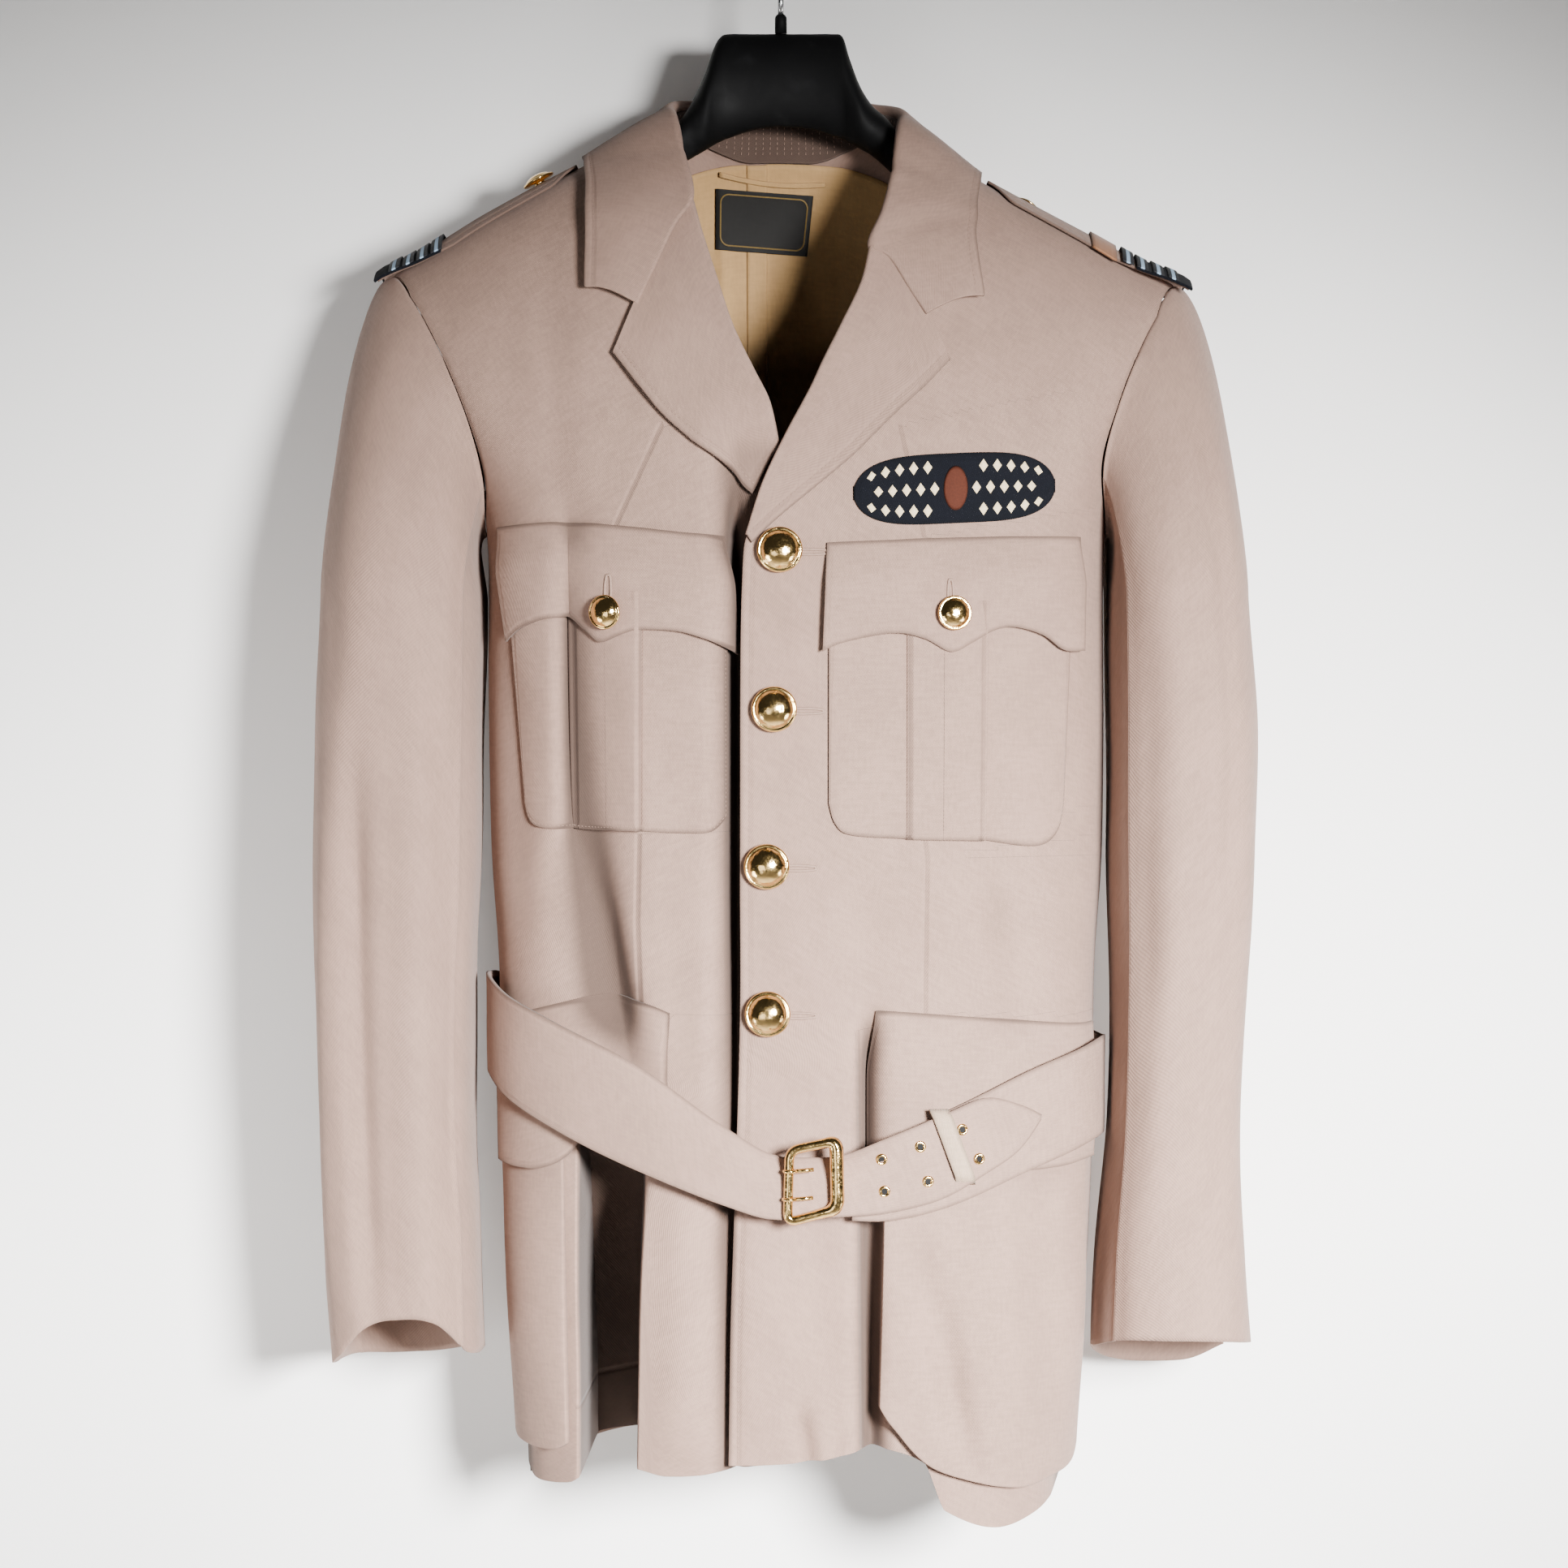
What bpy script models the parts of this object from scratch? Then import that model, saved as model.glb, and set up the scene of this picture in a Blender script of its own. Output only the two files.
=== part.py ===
"""Builds a belted bush jacket on a plain suit hanger, with each sewn piece as its own closed solid.

Metres, +Z up. +X is the viewer's right, the jacket's front faces -Y, and the origin is the inside of
the hook's crown, where a rail carries it. Left and right in names are the wearer's, so the left front
is on the viewer's right. Tables are in millimetres, with a namedtuple that names their columns.
"""

import math
from collections import namedtuple

import bmesh
import bpy
from mathutils import Vector

MM = 0.001

# Cloth thicknesses, and the clearance at a seam, in millimetres
WALL = 1.6
THIN = 1.2
SEAM = 1.2

# How square the body is in plan, and how far below the shoulder line it reaches its full depth
ROUND = 2.5
DROP = 150.0

FRONT = -1
BACK = 1

# The back's centre seam, and how wide and how deep its neck is cut
BACK_CENTRE = 3.0
NECK_SIDE = 80
NECK_DROP = 29

# How far the middle of each layer's wall lies outside the middle of the body's wall
COLLAR_LIFT = 5.0
POCKET_LIFT = 2.6
PLEAT_LIFT = 1.8
CHEST_FLAP_LIFT = 6.6
HIP_FLAP_LIFT = 5.8
FLAP_SEAM_LIFT = 3.2
PATCH_LIFT = 2.2
STRAP_LIFT = 2.6
SLIDE_LIFT = 2.4
KEEPER_LIFT = 16.6
BUCKLE_LIFT = 22.0
LINING_LIFT = -2.1
LABEL_LIFT = -5.1

# Sleeves: the rows of a front or back that make its armhole, and the turns of a sleeve's two seams
ARMHOLE_ROWS = 5
SEAM_TURNS = (-40, 141, 320)
SLEEVE_ROUND = 2.3

# The patch over the left chest pocket: a plain rounded bar
PATCH_CENTRE = (94.5, -344)
PATCH_HALF = (55, 19)

# Radii of the buckle's wire, its prongs, the hanger's plug and wire, and the hook's inner crown
BUCKLE_WIRE = 2.3
PRONG_WIRE = 1.1
PLUG = 3.4
WIRE = 1.7
CROWN = 20.0
BUTTON_SIDES = 12

# The body in plan at each height: its two side seams, and its depth in front and behind
Body = namedtuple("Body", "z left right front back")
BODY = [
    Body(-100, -272, 278, 66, 56),
    Body(-215, -266, 272, 74, 60),
    Body(-275, -222, 229, 82, 64),
    Body(-312, -191, 203, 86, 66),
    Body(-345, -170, 186, 88, 66),
    Body(-375, -165, 182, 89, 65),
    Body(-475, -165, 182, 88, 61),
    Body(-545, -163, 181, 85, 57),
    Body(-605, -159, 177, 84, 54),
    Body(-660, -158, 176, 86, 54),
    Body(-722, -157, 175, 89, 56),
    Body(-780, -154, 172, 92, 58),
    Body(-845, -149, 168, 95, 60),
    Body(-920, -146, 162, 97, 62),
]

# The shoulder line, over which the front turns into the back
Ridge = namedtuple("Ridge", "x z")
RIDGE = [
    Ridge(-250, -234),
    Ridge(-222, -217),
    Ridge(-167, -184),
    Ridge(-111, -154),
    Ridge(-64, -127),
    Ridge(-30, -116),
    Ridge(35, -117),
    Ridge(70, -131),
    Ridge(113, -163),
    Ridge(169, -193),
    Ridge(225, -222),
    Ridge(252, -237),
]


def clamp(value, low, high):
    return max(low, min(high, value))


def lerp(a, b, t):
    return a + (b - a) * t


def ease(value, start, end):
    """0 before start and 1 after end, with a soft ramp between; start may be above end."""
    t = clamp((value - start) / (end - start), 0, 1)
    return t * t * (3 - 2 * t)


def bump(value, centre, half):
    """1 at the centre, falling softly to 0 a little past half on both sides."""
    return math.exp(-(((value - centre) / half) ** 2))


def smooth_row(rows, key):
    """The row of a table at a fractional row number, on a smooth curve through its rows."""
    i = int(clamp(math.floor(key), 0, len(rows) - 2))
    t = clamp(key - i, 0, 1)
    before, a, b, after = (rows[clamp(j, 0, len(rows) - 1)] for j in (i - 1, i, i + 1, i + 2))
    values = []
    blend = t * t * (3 - 2 * t)
    leaving = t * (1 - t) ** 2
    arriving = t * t * (t - 1)
    for p, q, r, s in zip(before, a, b, after):
        values.append(lerp(q, r, blend) + leaving * (r - p) / 2 + arriving * (s - q) / 2)
    return type(a)(*values)


def at_key(rows, value):
    """The row of a table where its first column, which rises or falls, reaches a value."""
    rising = rows[-1][0] > rows[0][0]
    for i in range(len(rows) - 1):
        low, high = rows[i][0], rows[i + 1][0]
        if (value <= high) if rising else (value >= high):
            return smooth_row(rows, i + clamp((value - low) / (high - low), 0, 1))
    return rows[-1]


def ridge(x):
    return at_key(RIDGE, x).z


def side_angle(x, z):
    """The angle around the body, from -90 degrees at one side seam to 90 at the other."""
    body = at_key(BODY, z)
    t = clamp((x - (body.left + body.right) / 2) / ((body.right - body.left) / 2), -1, 1)
    return math.asin(math.copysign(abs(t) ** (ROUND / 2), t))


# The deep inverted fold in the right front's skirt: its two walls and its floor, down its length
Recess = namedtuple("Recess", "z outer inner floor open")
RECESS = [
    Recess(-666, -112, -73, -70, 0.0),
    Recess(-690, -112, -73, -56, 0.6),
    Recess(-716, -112, -72, -34, 1.0),
    Recess(-780, -112, -75, 0, 1.0),
    Recess(-830, -111, -76, 14, 1.0),
    Recess(-900, -111, -77, 22, 1.0),
]

# The soft fold that runs down the right chest, through the pocket, to the belt
Fold = namedtuple("Fold", "z x deep half")
CHEST_FOLD = [
    Fold(-335, -116, 0.0, 18),
    Fold(-400, -115, 4.0, 17),
    Fold(-480, -113, 5.0, 16),
    Fold(-530, -110, 4.5, 16),
    Fold(-566, -99, 4.0, 16),
    Fold(-629, -86, 2.0, 17),
    Fold(-680, -80, 0.0, 17),
]


def right_chest_folds(x, y, z):
    """The right front's dip under the placket, and its chest fold."""
    y += 10 * ease(x, -44, -22) * ease(z, -296, -328)
    fold = at_key(CHEST_FOLD, z)
    if fold.deep > 0:
        y += fold.deep * bump(x, fold.x, fold.half)
    return y


def right_front_folds(x, y, z):
    """The right front's chest folds, and the recess in its skirt."""
    y = right_chest_folds(x, y, z)
    if z < RECESS[0].z:
        recess = at_key(RECESS, z)
        inside = ease(x, recess.outer, recess.outer + 5) * ease(x, recess.inner, recess.inner - 5)
        y = lerp(y, max(y, recess.floor), inside * recess.open)
    return y


def left_front_folds(x, y, z):
    """The groove beside the left hip pocket, and the skirt's slight swing forward below it."""
    y += 9 * bump(x, 45, 7) * ease(z, -615, -660)
    y -= 7 * bump(x, 120, 40) * ease(z, -730, -880)
    return y


def plain(x, y, z):
    return y


def skin(angle, z, face, folds=plain):
    """A point of the body's surface in millimetres, from its angle around the body and its height."""
    body = at_key(BODY, z)
    s, c = math.sin(angle), abs(math.cos(angle))
    x = (body.left + body.right) / 2 + (body.right - body.left) / 2 * math.copysign(abs(s) ** (2 / ROUND), s)
    depth = body.front if face == FRONT else body.back
    fall = clamp((ridge(x) - z) / DROP, 0, 1)
    y = face * depth * c ** (2 / ROUND) * math.sqrt(1 - (1 - fall) ** 2)
    return Vector((x, folds(x, y, z), z))


def on_body(x, z, lift=0.0, face=FRONT, folds=plain):
    """The surface's point at a place seen from the front, lifted along its outward normal."""
    angle = side_angle(x, z)
    point = skin(angle, z, face, folds)
    if not lift:
        return point
    step = 0.02
    low = max(angle - step, -math.pi / 2)
    high = min(angle + step, math.pi / 2)
    across = skin(high, z, face, folds) - skin(low, z, face, folds)
    along = skin(angle, z + 1, face, folds) - skin(angle, z - 1, face, folds)
    normal = across.cross(along).normalized()
    if face == BACK:
        normal = -normal
    return point + normal * lift


def around(turn, z, lift):
    """A place on the plain body at a turn in degrees from its front centre, lifted outwards."""
    turn = (turn + 180) % 360 - 180
    face = FRONT if abs(turn) <= 90 else BACK
    angle = math.radians(turn if face == FRONT else math.copysign(180, turn) - turn)
    point = skin(angle, z, face)
    step = 0.03
    across = skin(min(angle + step, math.pi / 2), z, face) - skin(max(angle - step, -math.pi / 2), z, face)
    normal = Vector((across.y, -across.x, 0)).normalized()
    if face == BACK:
        normal = -normal
    return point + normal * lift


def over_shoulder(x, across, lift):
    """A place on the shoulder, in front of the shoulder line or behind it; a stiff strap sags little there."""
    def surface(place, distance):
        body = at_key(BODY, ridge(place))
        depth = body.front if distance >= 0 else body.back
        reach = depth * abs(math.cos(side_angle(place, ridge(place)))) ** (2 / ROUND)
        fall = DROP * (1 - math.cos(min(abs(distance) / reach, 1.5)))
        sag = lerp(13, 7, ease(abs(place), 150, 215)) * (distance / 22) ** 2
        return Vector((place, -distance, ridge(place) - min(fall, sag)))
    along = surface(x + 1, across) - surface(x - 1, across)
    sideways = surface(x, across - 1) - surface(x, across + 1)
    return surface(x, across) + along.cross(sideways).normalized() * lift


def clear_of_body(point, lift):
    """Moves a point out of the plain body to a lift above it: up near the shoulder line, else forward."""
    face = FRONT if point.y < 0 else BACK
    body = at_key(BODY, ridge(point.x))
    depth = body.front if face == FRONT else body.back
    reach = depth * abs(math.cos(side_angle(point.x, ridge(point.x)))) ** (2 / ROUND)
    share = min(abs(point.y) / reach, 0.99)
    if share < 0.7:
        slope = math.sqrt(1 - share * share)
        top = ridge(point.x) - DROP * (1 - slope) + lift * 1.1 / slope
        return Vector((point.x, point.y, max(point.z, top)))
    surface = on_body(point.x, point.z, lift, face)
    y = min(point.y, surface.y) if face == FRONT else max(point.y, surface.y)
    return Vector((point.x, y, point.z))


def colour_of(name):
    for words, look in LOOKS:
        if any(word in name for word in words):
            return look
    return CLOTH


def finish(name, mesh):
    """Puts a mesh in its own object, collection and material."""
    thing = bpy.data.objects.new(name, mesh)
    group = bpy.data.collections.new(name)
    bpy.context.scene.collection.children.link(group)
    group.objects.link(thing)
    look = colour_of(name)
    material = bpy.data.materials.new(name)
    material.use_nodes = True
    surface = material.node_tree.nodes["Principled BSDF"]
    surface.inputs["Base Color"].default_value = (*look.colour, 1)
    surface.inputs["Roughness"].default_value = look.rough
    surface.inputs["Metallic"].default_value = look.metal
    mesh.materials.append(material)
    return thing


def cloth(name, place, columns, rows, wall=WALL):
    """A piece of cloth: a grid placed by a function of its column and row, with a wall around it."""
    grid = bmesh.new()
    bmesh.ops.create_grid(grid, x_segments=len(columns) - 1, y_segments=len(rows) - 1, size=1)
    grid.verts.ensure_lookup_table()
    for number, vert in enumerate(grid.verts):
        vert.co = place(columns[number % len(columns)], rows[number // len(columns)]) * MM
    mesh = bpy.data.meshes.new(name)
    grid.to_mesh(mesh)
    grid.free()
    thing = finish(name, mesh)
    solid = thing.modifiers.new("Wall", "SOLIDIFY")
    solid.thickness = wall * MM
    solid.offset = 0
    return thing


def skin_over(name, rings, closed=False):
    """A solid through rings of points, with a face over each end unless the rings run in a loop."""
    shape = bmesh.new()
    made = [[shape.verts.new(point * MM) for point in ring] for ring in rings]
    count = len(rings[0])
    pairs = list(zip(made, made[1:])) + ([(made[-1], made[0])] if closed else [])
    for a, b in pairs:
        for i in range(count):
            shape.faces.new((a[i], a[(i + 1) % count], b[(i + 1) % count], b[i]))
    if not closed:
        shape.faces.new(list(reversed(made[0])))
        shape.faces.new(made[-1])
    bmesh.ops.recalc_face_normals(shape, faces=shape.faces)
    mesh = bpy.data.meshes.new(name)
    shape.to_mesh(mesh)
    shape.free()
    return finish(name, mesh)


def rod(name, points, radius, sides=8, closed=False):
    """A round bar along a path."""
    rings = []
    count = len(points)
    for i, point in enumerate(points):
        before = points[i - 1] if closed or i else point
        after = points[(i + 1) % count] if closed or i < count - 1 else point
        ahead = (after - before).normalized()
        side = ahead.cross(Vector((0, 1, 0))).normalized()
        up = side.cross(ahead)
        rings.append([
            point + (side * math.cos(math.tau * k / sides) + up * math.sin(math.tau * k / sides)) * radius
            for k in range(sides)
        ])
    return skin_over(name, rings, closed)


def even(count):
    return [i / count for i in range(count + 1)]


def keyed(rows):
    """Row numbers through a table, with each row's own number of cells before the next."""
    keys = [0.0]
    for i, row in enumerate(rows[:-1]):
        keys += [i + (j + 1) / row.cells for j in range(int(row.cells))]
    return keys


# Fronts and backs: each row runs from the piece's inner edge to its armhole or side seam
Panel = namedtuple("Panel", "inner_x inner_z outer_x outer_z cells")
LEFT_FRONT = [
    Panel(78, -136, 225, -222, 4),
    Panel(72, -166, 210, -243, 2),
    Panel(62, -202, 198, -266, 2),
    Panel(36, -256, 187, -294, 2),
    Panel(11, -305, 178, -327, 1),
    Panel(-15, -361, 182, -362, 1),
    Panel(-21, -400, 182, -400, 3),
    Panel(-22, -545, 181, -545, 2),
    Panel(-22, -629, 177, -605, 2),
    Panel(-25, -739, 175, -735, 2),
    Panel(-27, -800, 171, -810, 2),
    Panel(-28, -872, 163, -900, 2),
]
RIGHT_FRONT = [
    Panel(-76, -136, -222, -217, 4),
    Panel(-68, -163, -207, -232, 2),
    Panel(-55, -196, -190, -262, 2),
    Panel(-28, -256, -174, -300, 2),
    Panel(-8, -299, -165, -333, 2),
    Panel(6, -340, -166, -362, 1),
    Panel(18, -380, -165, -400, 3),
    Panel(18, -545, -163, -545, 2),
    Panel(18, -629, -159, -629, 2),
    Panel(17, -715, -157, -715, 2),
    Panel(17, -790, -153, -790, 2),
    Panel(16, -872, -147, -886, 2),
]
BACK_HALF = [
    Panel(0, -116, 222, -220, 4),
    Panel(0, -142, 209, -238, 2),
    Panel(0, -180, 195, -264, 3),
    Panel(0, -245, 181, -297, 2),
    Panel(0, -305, 173, -330, 2),
    Panel(0, -361, 174, -362, 4),
    Panel(0, -545, 172, -545, 4),
    Panel(0, -735, 166, -735, 3),
    Panel(0, -880, 155, -900, 3),
]
LEFT_COLUMNS = [
    0, 0.06, 0.12, 0.2, 0.27, 0.305, 0.33, 0.355, 0.4, 0.48, 0.57, 0.66, 0.75, 0.83, 0.89, 0.94, 0.975, 1,
]
RIGHT_COLUMNS = [
    0, 0.12, 0.22, 0.27, 0.31, 0.35, 0.42, 0.5, 0.53, 0.545, 0.56, 0.61, 0.67, 0.715, 0.735, 0.75, 0.78,
    0.83, 0.88, 0.93, 0.97, 1,
]
BACK_COLUMNS = [0, 0.12, 0.25, 0.38, 0.5, 0.62, 0.73, 0.83, 0.91, 0.97, 1]

Hem = namedtuple("Hem", "x z")
LEFT_HEM = [
    Hem(-28, -872), Hem(22, -869), Hem(54, -863), Hem(78, -871), Hem(88, -896), Hem(118, -907),
    Hem(152, -897), Hem(165, -886),
]
RIGHT_HEM = [
    Hem(-150, -884), Hem(-138, -888), Hem(-115, -886), Hem(-104, -878), Hem(-80, -875), Hem(-60, -878),
    Hem(16, -871),
]
BACK_HEM = [Hem(-160, -896), Hem(-90, -880), Hem(0, -878), Hem(90, -880), Hem(170, -896)]


def panel_place(rows, hem, face, folds, neck=0.0, mirror=1, shift=0.0):
    """The function that places a front or back: its cut edges lie at its table's rows and its hem."""
    def drop(edge_x, edge_z):
        return ridge(edge_x * mirror + shift) - edge_z

    def place(u, key):
        row = smooth_row(rows, key)
        xs = (row.inner_x, row.outer_x)
        drops = (drop(row.inner_x, row.inner_z), drop(row.outer_x, row.outer_z))
        if key < 1:
            first = rows[1]
            xs = (lerp(rows[0].inner_x, first.inner_x, key), lerp(rows[0].outer_x, first.outer_x, key))
            drops = (drop(first.inner_x, first.inner_z), drop(first.outer_x, first.outer_z))
            drops = (drops[0] * key * key, drops[1] * key * key)
        x = lerp(*xs, u) * mirror + shift
        sloped = ridge(x) - lerp(*drops, u)
        level = lerp(row.inner_z, row.outer_z, u)
        z = lerp(sloped, level, ease(level, -280, -400))
        if neck:
            z -= neck * ease(abs(x), NECK_SIDE, 15) * (1 - ease(key, 0, 3))
        if z < -700:
            end = lerp(rows[-1].inner_z, rows[-1].outer_z, u)
            z += (at_key(hem, x).z - end) * ease(z, -735, end)
        point = on_body(x, z, 0, face, folds)
        if abs(point.y) < SEAM / 2 and face * point.y > -1:
            point.y = face * SEAM / 2
        return point
    return place


def build_body():
    left_front = panel_place(LEFT_FRONT, LEFT_HEM, FRONT, left_front_folds)
    right_front = panel_place(RIGHT_FRONT, RIGHT_HEM, FRONT, right_front_folds)
    cloth("left_front", left_front, LEFT_COLUMNS, keyed(LEFT_FRONT))
    cloth("right_front", right_front, RIGHT_COLUMNS, keyed(RIGHT_FRONT))
    left_back = panel_place(BACK_HALF, BACK_HEM, BACK, plain, NECK_DROP, 1, BACK_CENTRE + SEAM / 2)
    right_back = panel_place(BACK_HALF, BACK_HEM, BACK, plain, NECK_DROP, -1, BACK_CENTRE - SEAM / 2)
    cloth("left_back", left_back, BACK_COLUMNS, keyed(BACK_HALF))
    cloth("right_back", right_back, BACK_COLUMNS, keyed(BACK_HALF))


# Sleeves: each row is the tube at one height, and the cap is drawn from the armhole down to the first
Tube = namedtuple("Tube", "z outer inner front back")
RIGHT_SLEEVE = [
    Tube(-400, -256.5, -168.6, -84, 62),
    Tube(-474, -259, -169, -86, 58),
    Tube(-545, -260, -170, -86, 52),
    Tube(-611, -259, -172.5, -84, 48),
    Tube(-702, -257, -172.5, -80, 44),
    Tube(-770, -254, -170, -77, 42),
    Tube(-845, -249, -168, -74, 40),
]
LEFT_SLEEVE = [
    Tube(-400, 260.5, 185.4, -84, 62),
    Tube(-474, 265, 185.4, -86, 58),
    Tube(-545, 262.5, 185.6, -86, 52),
    Tube(-611, 259, 186.5, -84, 48),
    Tube(-702, 254.5, 184.5, -80, 44),
    Tube(-770, 258, 179, -77, 42),
    Tube(-845, 264, 175.5, -74, 40),
]
Cuff = namedtuple("Cuff", "turn z")
RIGHT_CUFF = [
    Cuff(-45, -832), Cuff(0, -829), Cuff(45, -818), Cuff(80, -799), Cuff(110, -798), Cuff(150, -818),
    Cuff(200, -824), Cuff(270, -834), Cuff(325, -832),
]
LEFT_CUFF = [
    Cuff(-45, -826), Cuff(0, -817), Cuff(45, -811), Cuff(90, -808), Cuff(135, -810), Cuff(180, -820),
    Cuff(235, -836), Cuff(280, -839), Cuff(325, -826),
]


def armhole(front_place, back_place):
    """The armhole's two edges, front and back, as points even along each from shoulder to underarm."""
    def spread_out(place):
        fine = [place(1, ARMHOLE_ROWS * i / 60) for i in range(61)]
        run = [0.0]
        for a, b in zip(fine, fine[1:]):
            run.append(run[-1] + (b - a).length)
        def point(share):
            target = share * run[-1]
            for i in range(60):
                if run[i + 1] >= target:
                    return fine[i].lerp(fine[i + 1], (target - run[i]) / (run[i + 1] - run[i]))
            return fine[-1]
        return point
    return spread_out(front_place), spread_out(back_place)


def sleeve_place(side, table, cuff, edges):
    """Places a sleeve by its turn, from 0 outside through 90 in front, and its key down the arm."""
    def ring(turn, z):
        row = at_key(table, z)
        c, s = math.cos(math.radians(turn)), math.sin(math.radians(turn))
        middle, half = (row.outer + row.inner) / 2, abs(row.outer - row.inner) / 2
        depth, centre = (row.back - row.front) / 2, (row.front + row.back) / 2
        power = 2 / SLEEVE_ROUND
        return Vector((
            middle + side * half * math.copysign(abs(c) ** power, c),
            centre - depth * math.copysign(abs(s) ** power, s),
            z,
        ))
    def place(turn, key):
        full = turn % 360
        hem = at_key(cuff, turn).z
        if key >= 1:
            return ring(turn, lerp(table[0].z, hem, key - 1))
        low = ring(turn, table[0].z)
        if full <= 180:
            high = edges[0](full / 180)
        else:
            high = edges[1]((360 - full) / 180)
        down = (1 - math.cos(math.radians(full))) / 2
        steep = math.radians(lerp(32, 42, ease(down, 0.3, 1)))
        forward = -0.25 * math.sin(math.radians(full)) * (1 - down)
        out = Vector((side * math.cos(steep), forward, -math.sin(steep)))
        apart = 1.7 + 2.4 * ease(down, 0.1, 0) + 1.5 * ease(down, 0.6, 0.95)
        high = high + Vector((side * apart, 0, -0.4 * apart))
        pull = lerp(70, 24, ease(down, 0.1, 0.95))
        fall = lerp(150, 34, ease(down, 0.1, 0.95))
        t, t2, t3 = key, key * key, key ** 3
        return (
            high * (2 * t3 - 3 * t2 + 1) + out * pull * (t3 - 2 * t2 + t)
            + low * (3 * t2 - 2 * t3) + Vector((0, 0, -fall)) * (t3 - t2)
        )
    return place


def build_sleeves():
    cap = [0, 0.14, 0.3, 0.5, 0.75]
    arm = [1 + i / 8 for i in range(9)]
    gap = 0.6
    for name, side, table, cuff, rows, folds in (
        ("left", 1, LEFT_SLEEVE, LEFT_CUFF, LEFT_FRONT, left_front_folds),
        ("right", -1, RIGHT_SLEEVE, RIGHT_CUFF, RIGHT_FRONT, right_front_folds),
    ):
        front = panel_place(rows, LEFT_HEM, FRONT, folds)
        back = panel_place(BACK_HALF, BACK_HEM, BACK, plain, NECK_DROP, side, BACK_CENTRE + side * SEAM / 2)
        place = sleeve_place(side, table, cuff, armhole(front, back))
        a, b, c = SEAM_TURNS
        cloth(f"{name}_top_sleeve", place, [lerp(a + gap, b - gap, t) for t in even(11)], cap + arm)
        cloth(f"{name}_under_sleeve", place, [lerp(b + gap, c - gap, t) for t in even(9)], cap + arm)


# Collar: each station has the fold at the neck and the collar's outer edge, from the right notch
# around the neck to the left notch
Collar = namedtuple("Collar", "fold_x fold_y fold_z edge_x edge_y edge_z")
COLLAR = [
    Collar(-79, -78, -242.5, -107, -72, -233),
    Collar(-67.5, -74, -217, -107, -66, -212),
    Collar(-57.5, -70, -196, -107.5, -57, -190),
    Collar(-50, -64, -182, -108.5, -41, -170),
    Collar(-55, -50, -159, -111, -16, -153),
    Collar(-62, -20, -132, -112, 6, -150),
    Collar(-65, 12, -116, -105, 30, -158),
    Collar(-50, 37, -110, -76, 51, -163),
    Collar(-22, 46, -108, -32, 59, -164),
    Collar(3, 48, -108, 3, 61, -164),
    Collar(28, 46, -108, 38, 59, -165),
    Collar(56, 37, -112, 82, 51, -167),
    Collar(71, 12, -120, 111, 30, -166),
    Collar(69.5, -20, -138, 114, 8, -159),
    Collar(64, -49, -166, 113, -17, -163),
    Collar(58, -65, -190, 109, -42, -182),
    Collar(60, -73, -216, 107.5, -59, -204),
    Collar(70, -77, -232, 109, -68, -221),
    Collar(80, -80, -248, 111, -74, -238),
]
Stand = namedtuple("Stand", "seam_x top_x top_y top_z")
STAND = [
    Stand(-66, -62, -1, -126),
    Stand(-60, -62, 13, -120),
    Stand(-48, -48, 33, -114),
    Stand(-23, -22, 42, -112),
    Stand(3, 3, 44, -112),
    Stand(29, 28, 42, -112),
    Stand(54, 53, 33, -116),
    Stand(65, 67, 13, -124),
    Stand(71, 67, -1, -130),
]


def collar_place(u, key):
    """The collar's fall: u runs from its fold to its edge, bulging out a little between them."""
    c = smooth_row(COLLAR, key)
    fold = Vector((c.fold_x, c.fold_y, c.fold_z))
    edge = Vector((c.edge_x, c.edge_y, c.edge_z))
    point = fold.lerp(edge, u)
    middle = Vector((3, 10, -150))
    away = (point - middle)
    away.z = 0
    along = math.sin(math.pi * u)
    point += away.normalized() * 2 * along + Vector((0, 0, 3 * along))
    return clear_of_body(point, COLLAR_LIFT)


def stand_place(u, key):
    """The collar's stand: u runs from its top to the neck seam, just above the back's neck edge."""
    s = smooth_row(STAND, key)
    seam = on_body(s.seam_x, ridge(s.seam_x) - NECK_DROP * ease(abs(s.seam_x), NECK_SIDE, 15), 0, BACK)
    return Vector((s.top_x, s.top_y, s.top_z)).lerp(seam + Vector((0, -0.8, 2.6)), u)


# Lapels: rows from the gorge seam to the foot, from the roll edge to the outer edge
Lapel = namedtuple("Lapel", "roll_x roll_z edge_x edge_z lift cells")
RIGHT_LAPEL = [
    Lapel(-49, -186, -90.5, -270.5, 5.0, 2),
    Lapel(-44, -204, -77, -288, 5.0, 2),
    Lapel(-36, -229, -64, -304, 4.0, 2),
    Lapel(-27, -256, -51, -316, 3.5, 2),
    Lapel(-16, -280, -39, -326, 4.0, 2),
    Lapel(-7, -299, -27, -336, 4.6, 2),
    Lapel(-2, -321, -15, -347, 4.8, 1),
]
LEFT_LAPEL = [
    Lapel(54, -212, 91.5, -274.5, 4.0, 2),
    Lapel(45, -232, 79, -288, 4.0, 2),
    Lapel(34, -256, 65, -301, 4.0, 2),
    Lapel(25, -274, 52, -314, 4.0, 2),
    Lapel(17, -291, 39, -327, 3.5, 2),
    Lapel(4, -315, 20, -343, 3.0, 2),
    Lapel(-9, -342, -3, -362, 2.5, 2),
    Lapel(-18, -370, -15.5, -374, 2.2, 1),
]


def lapel_place(rows, folds):
    def place(u, key):
        row = smooth_row(rows, key)
        x = lerp(row.roll_x, row.edge_x, u)
        z = lerp(row.roll_z, row.edge_z, u)
        if key < 0.01:
            z -= SEAM
        return on_body(x, z, row.lift, FRONT, folds)
    return place


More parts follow.
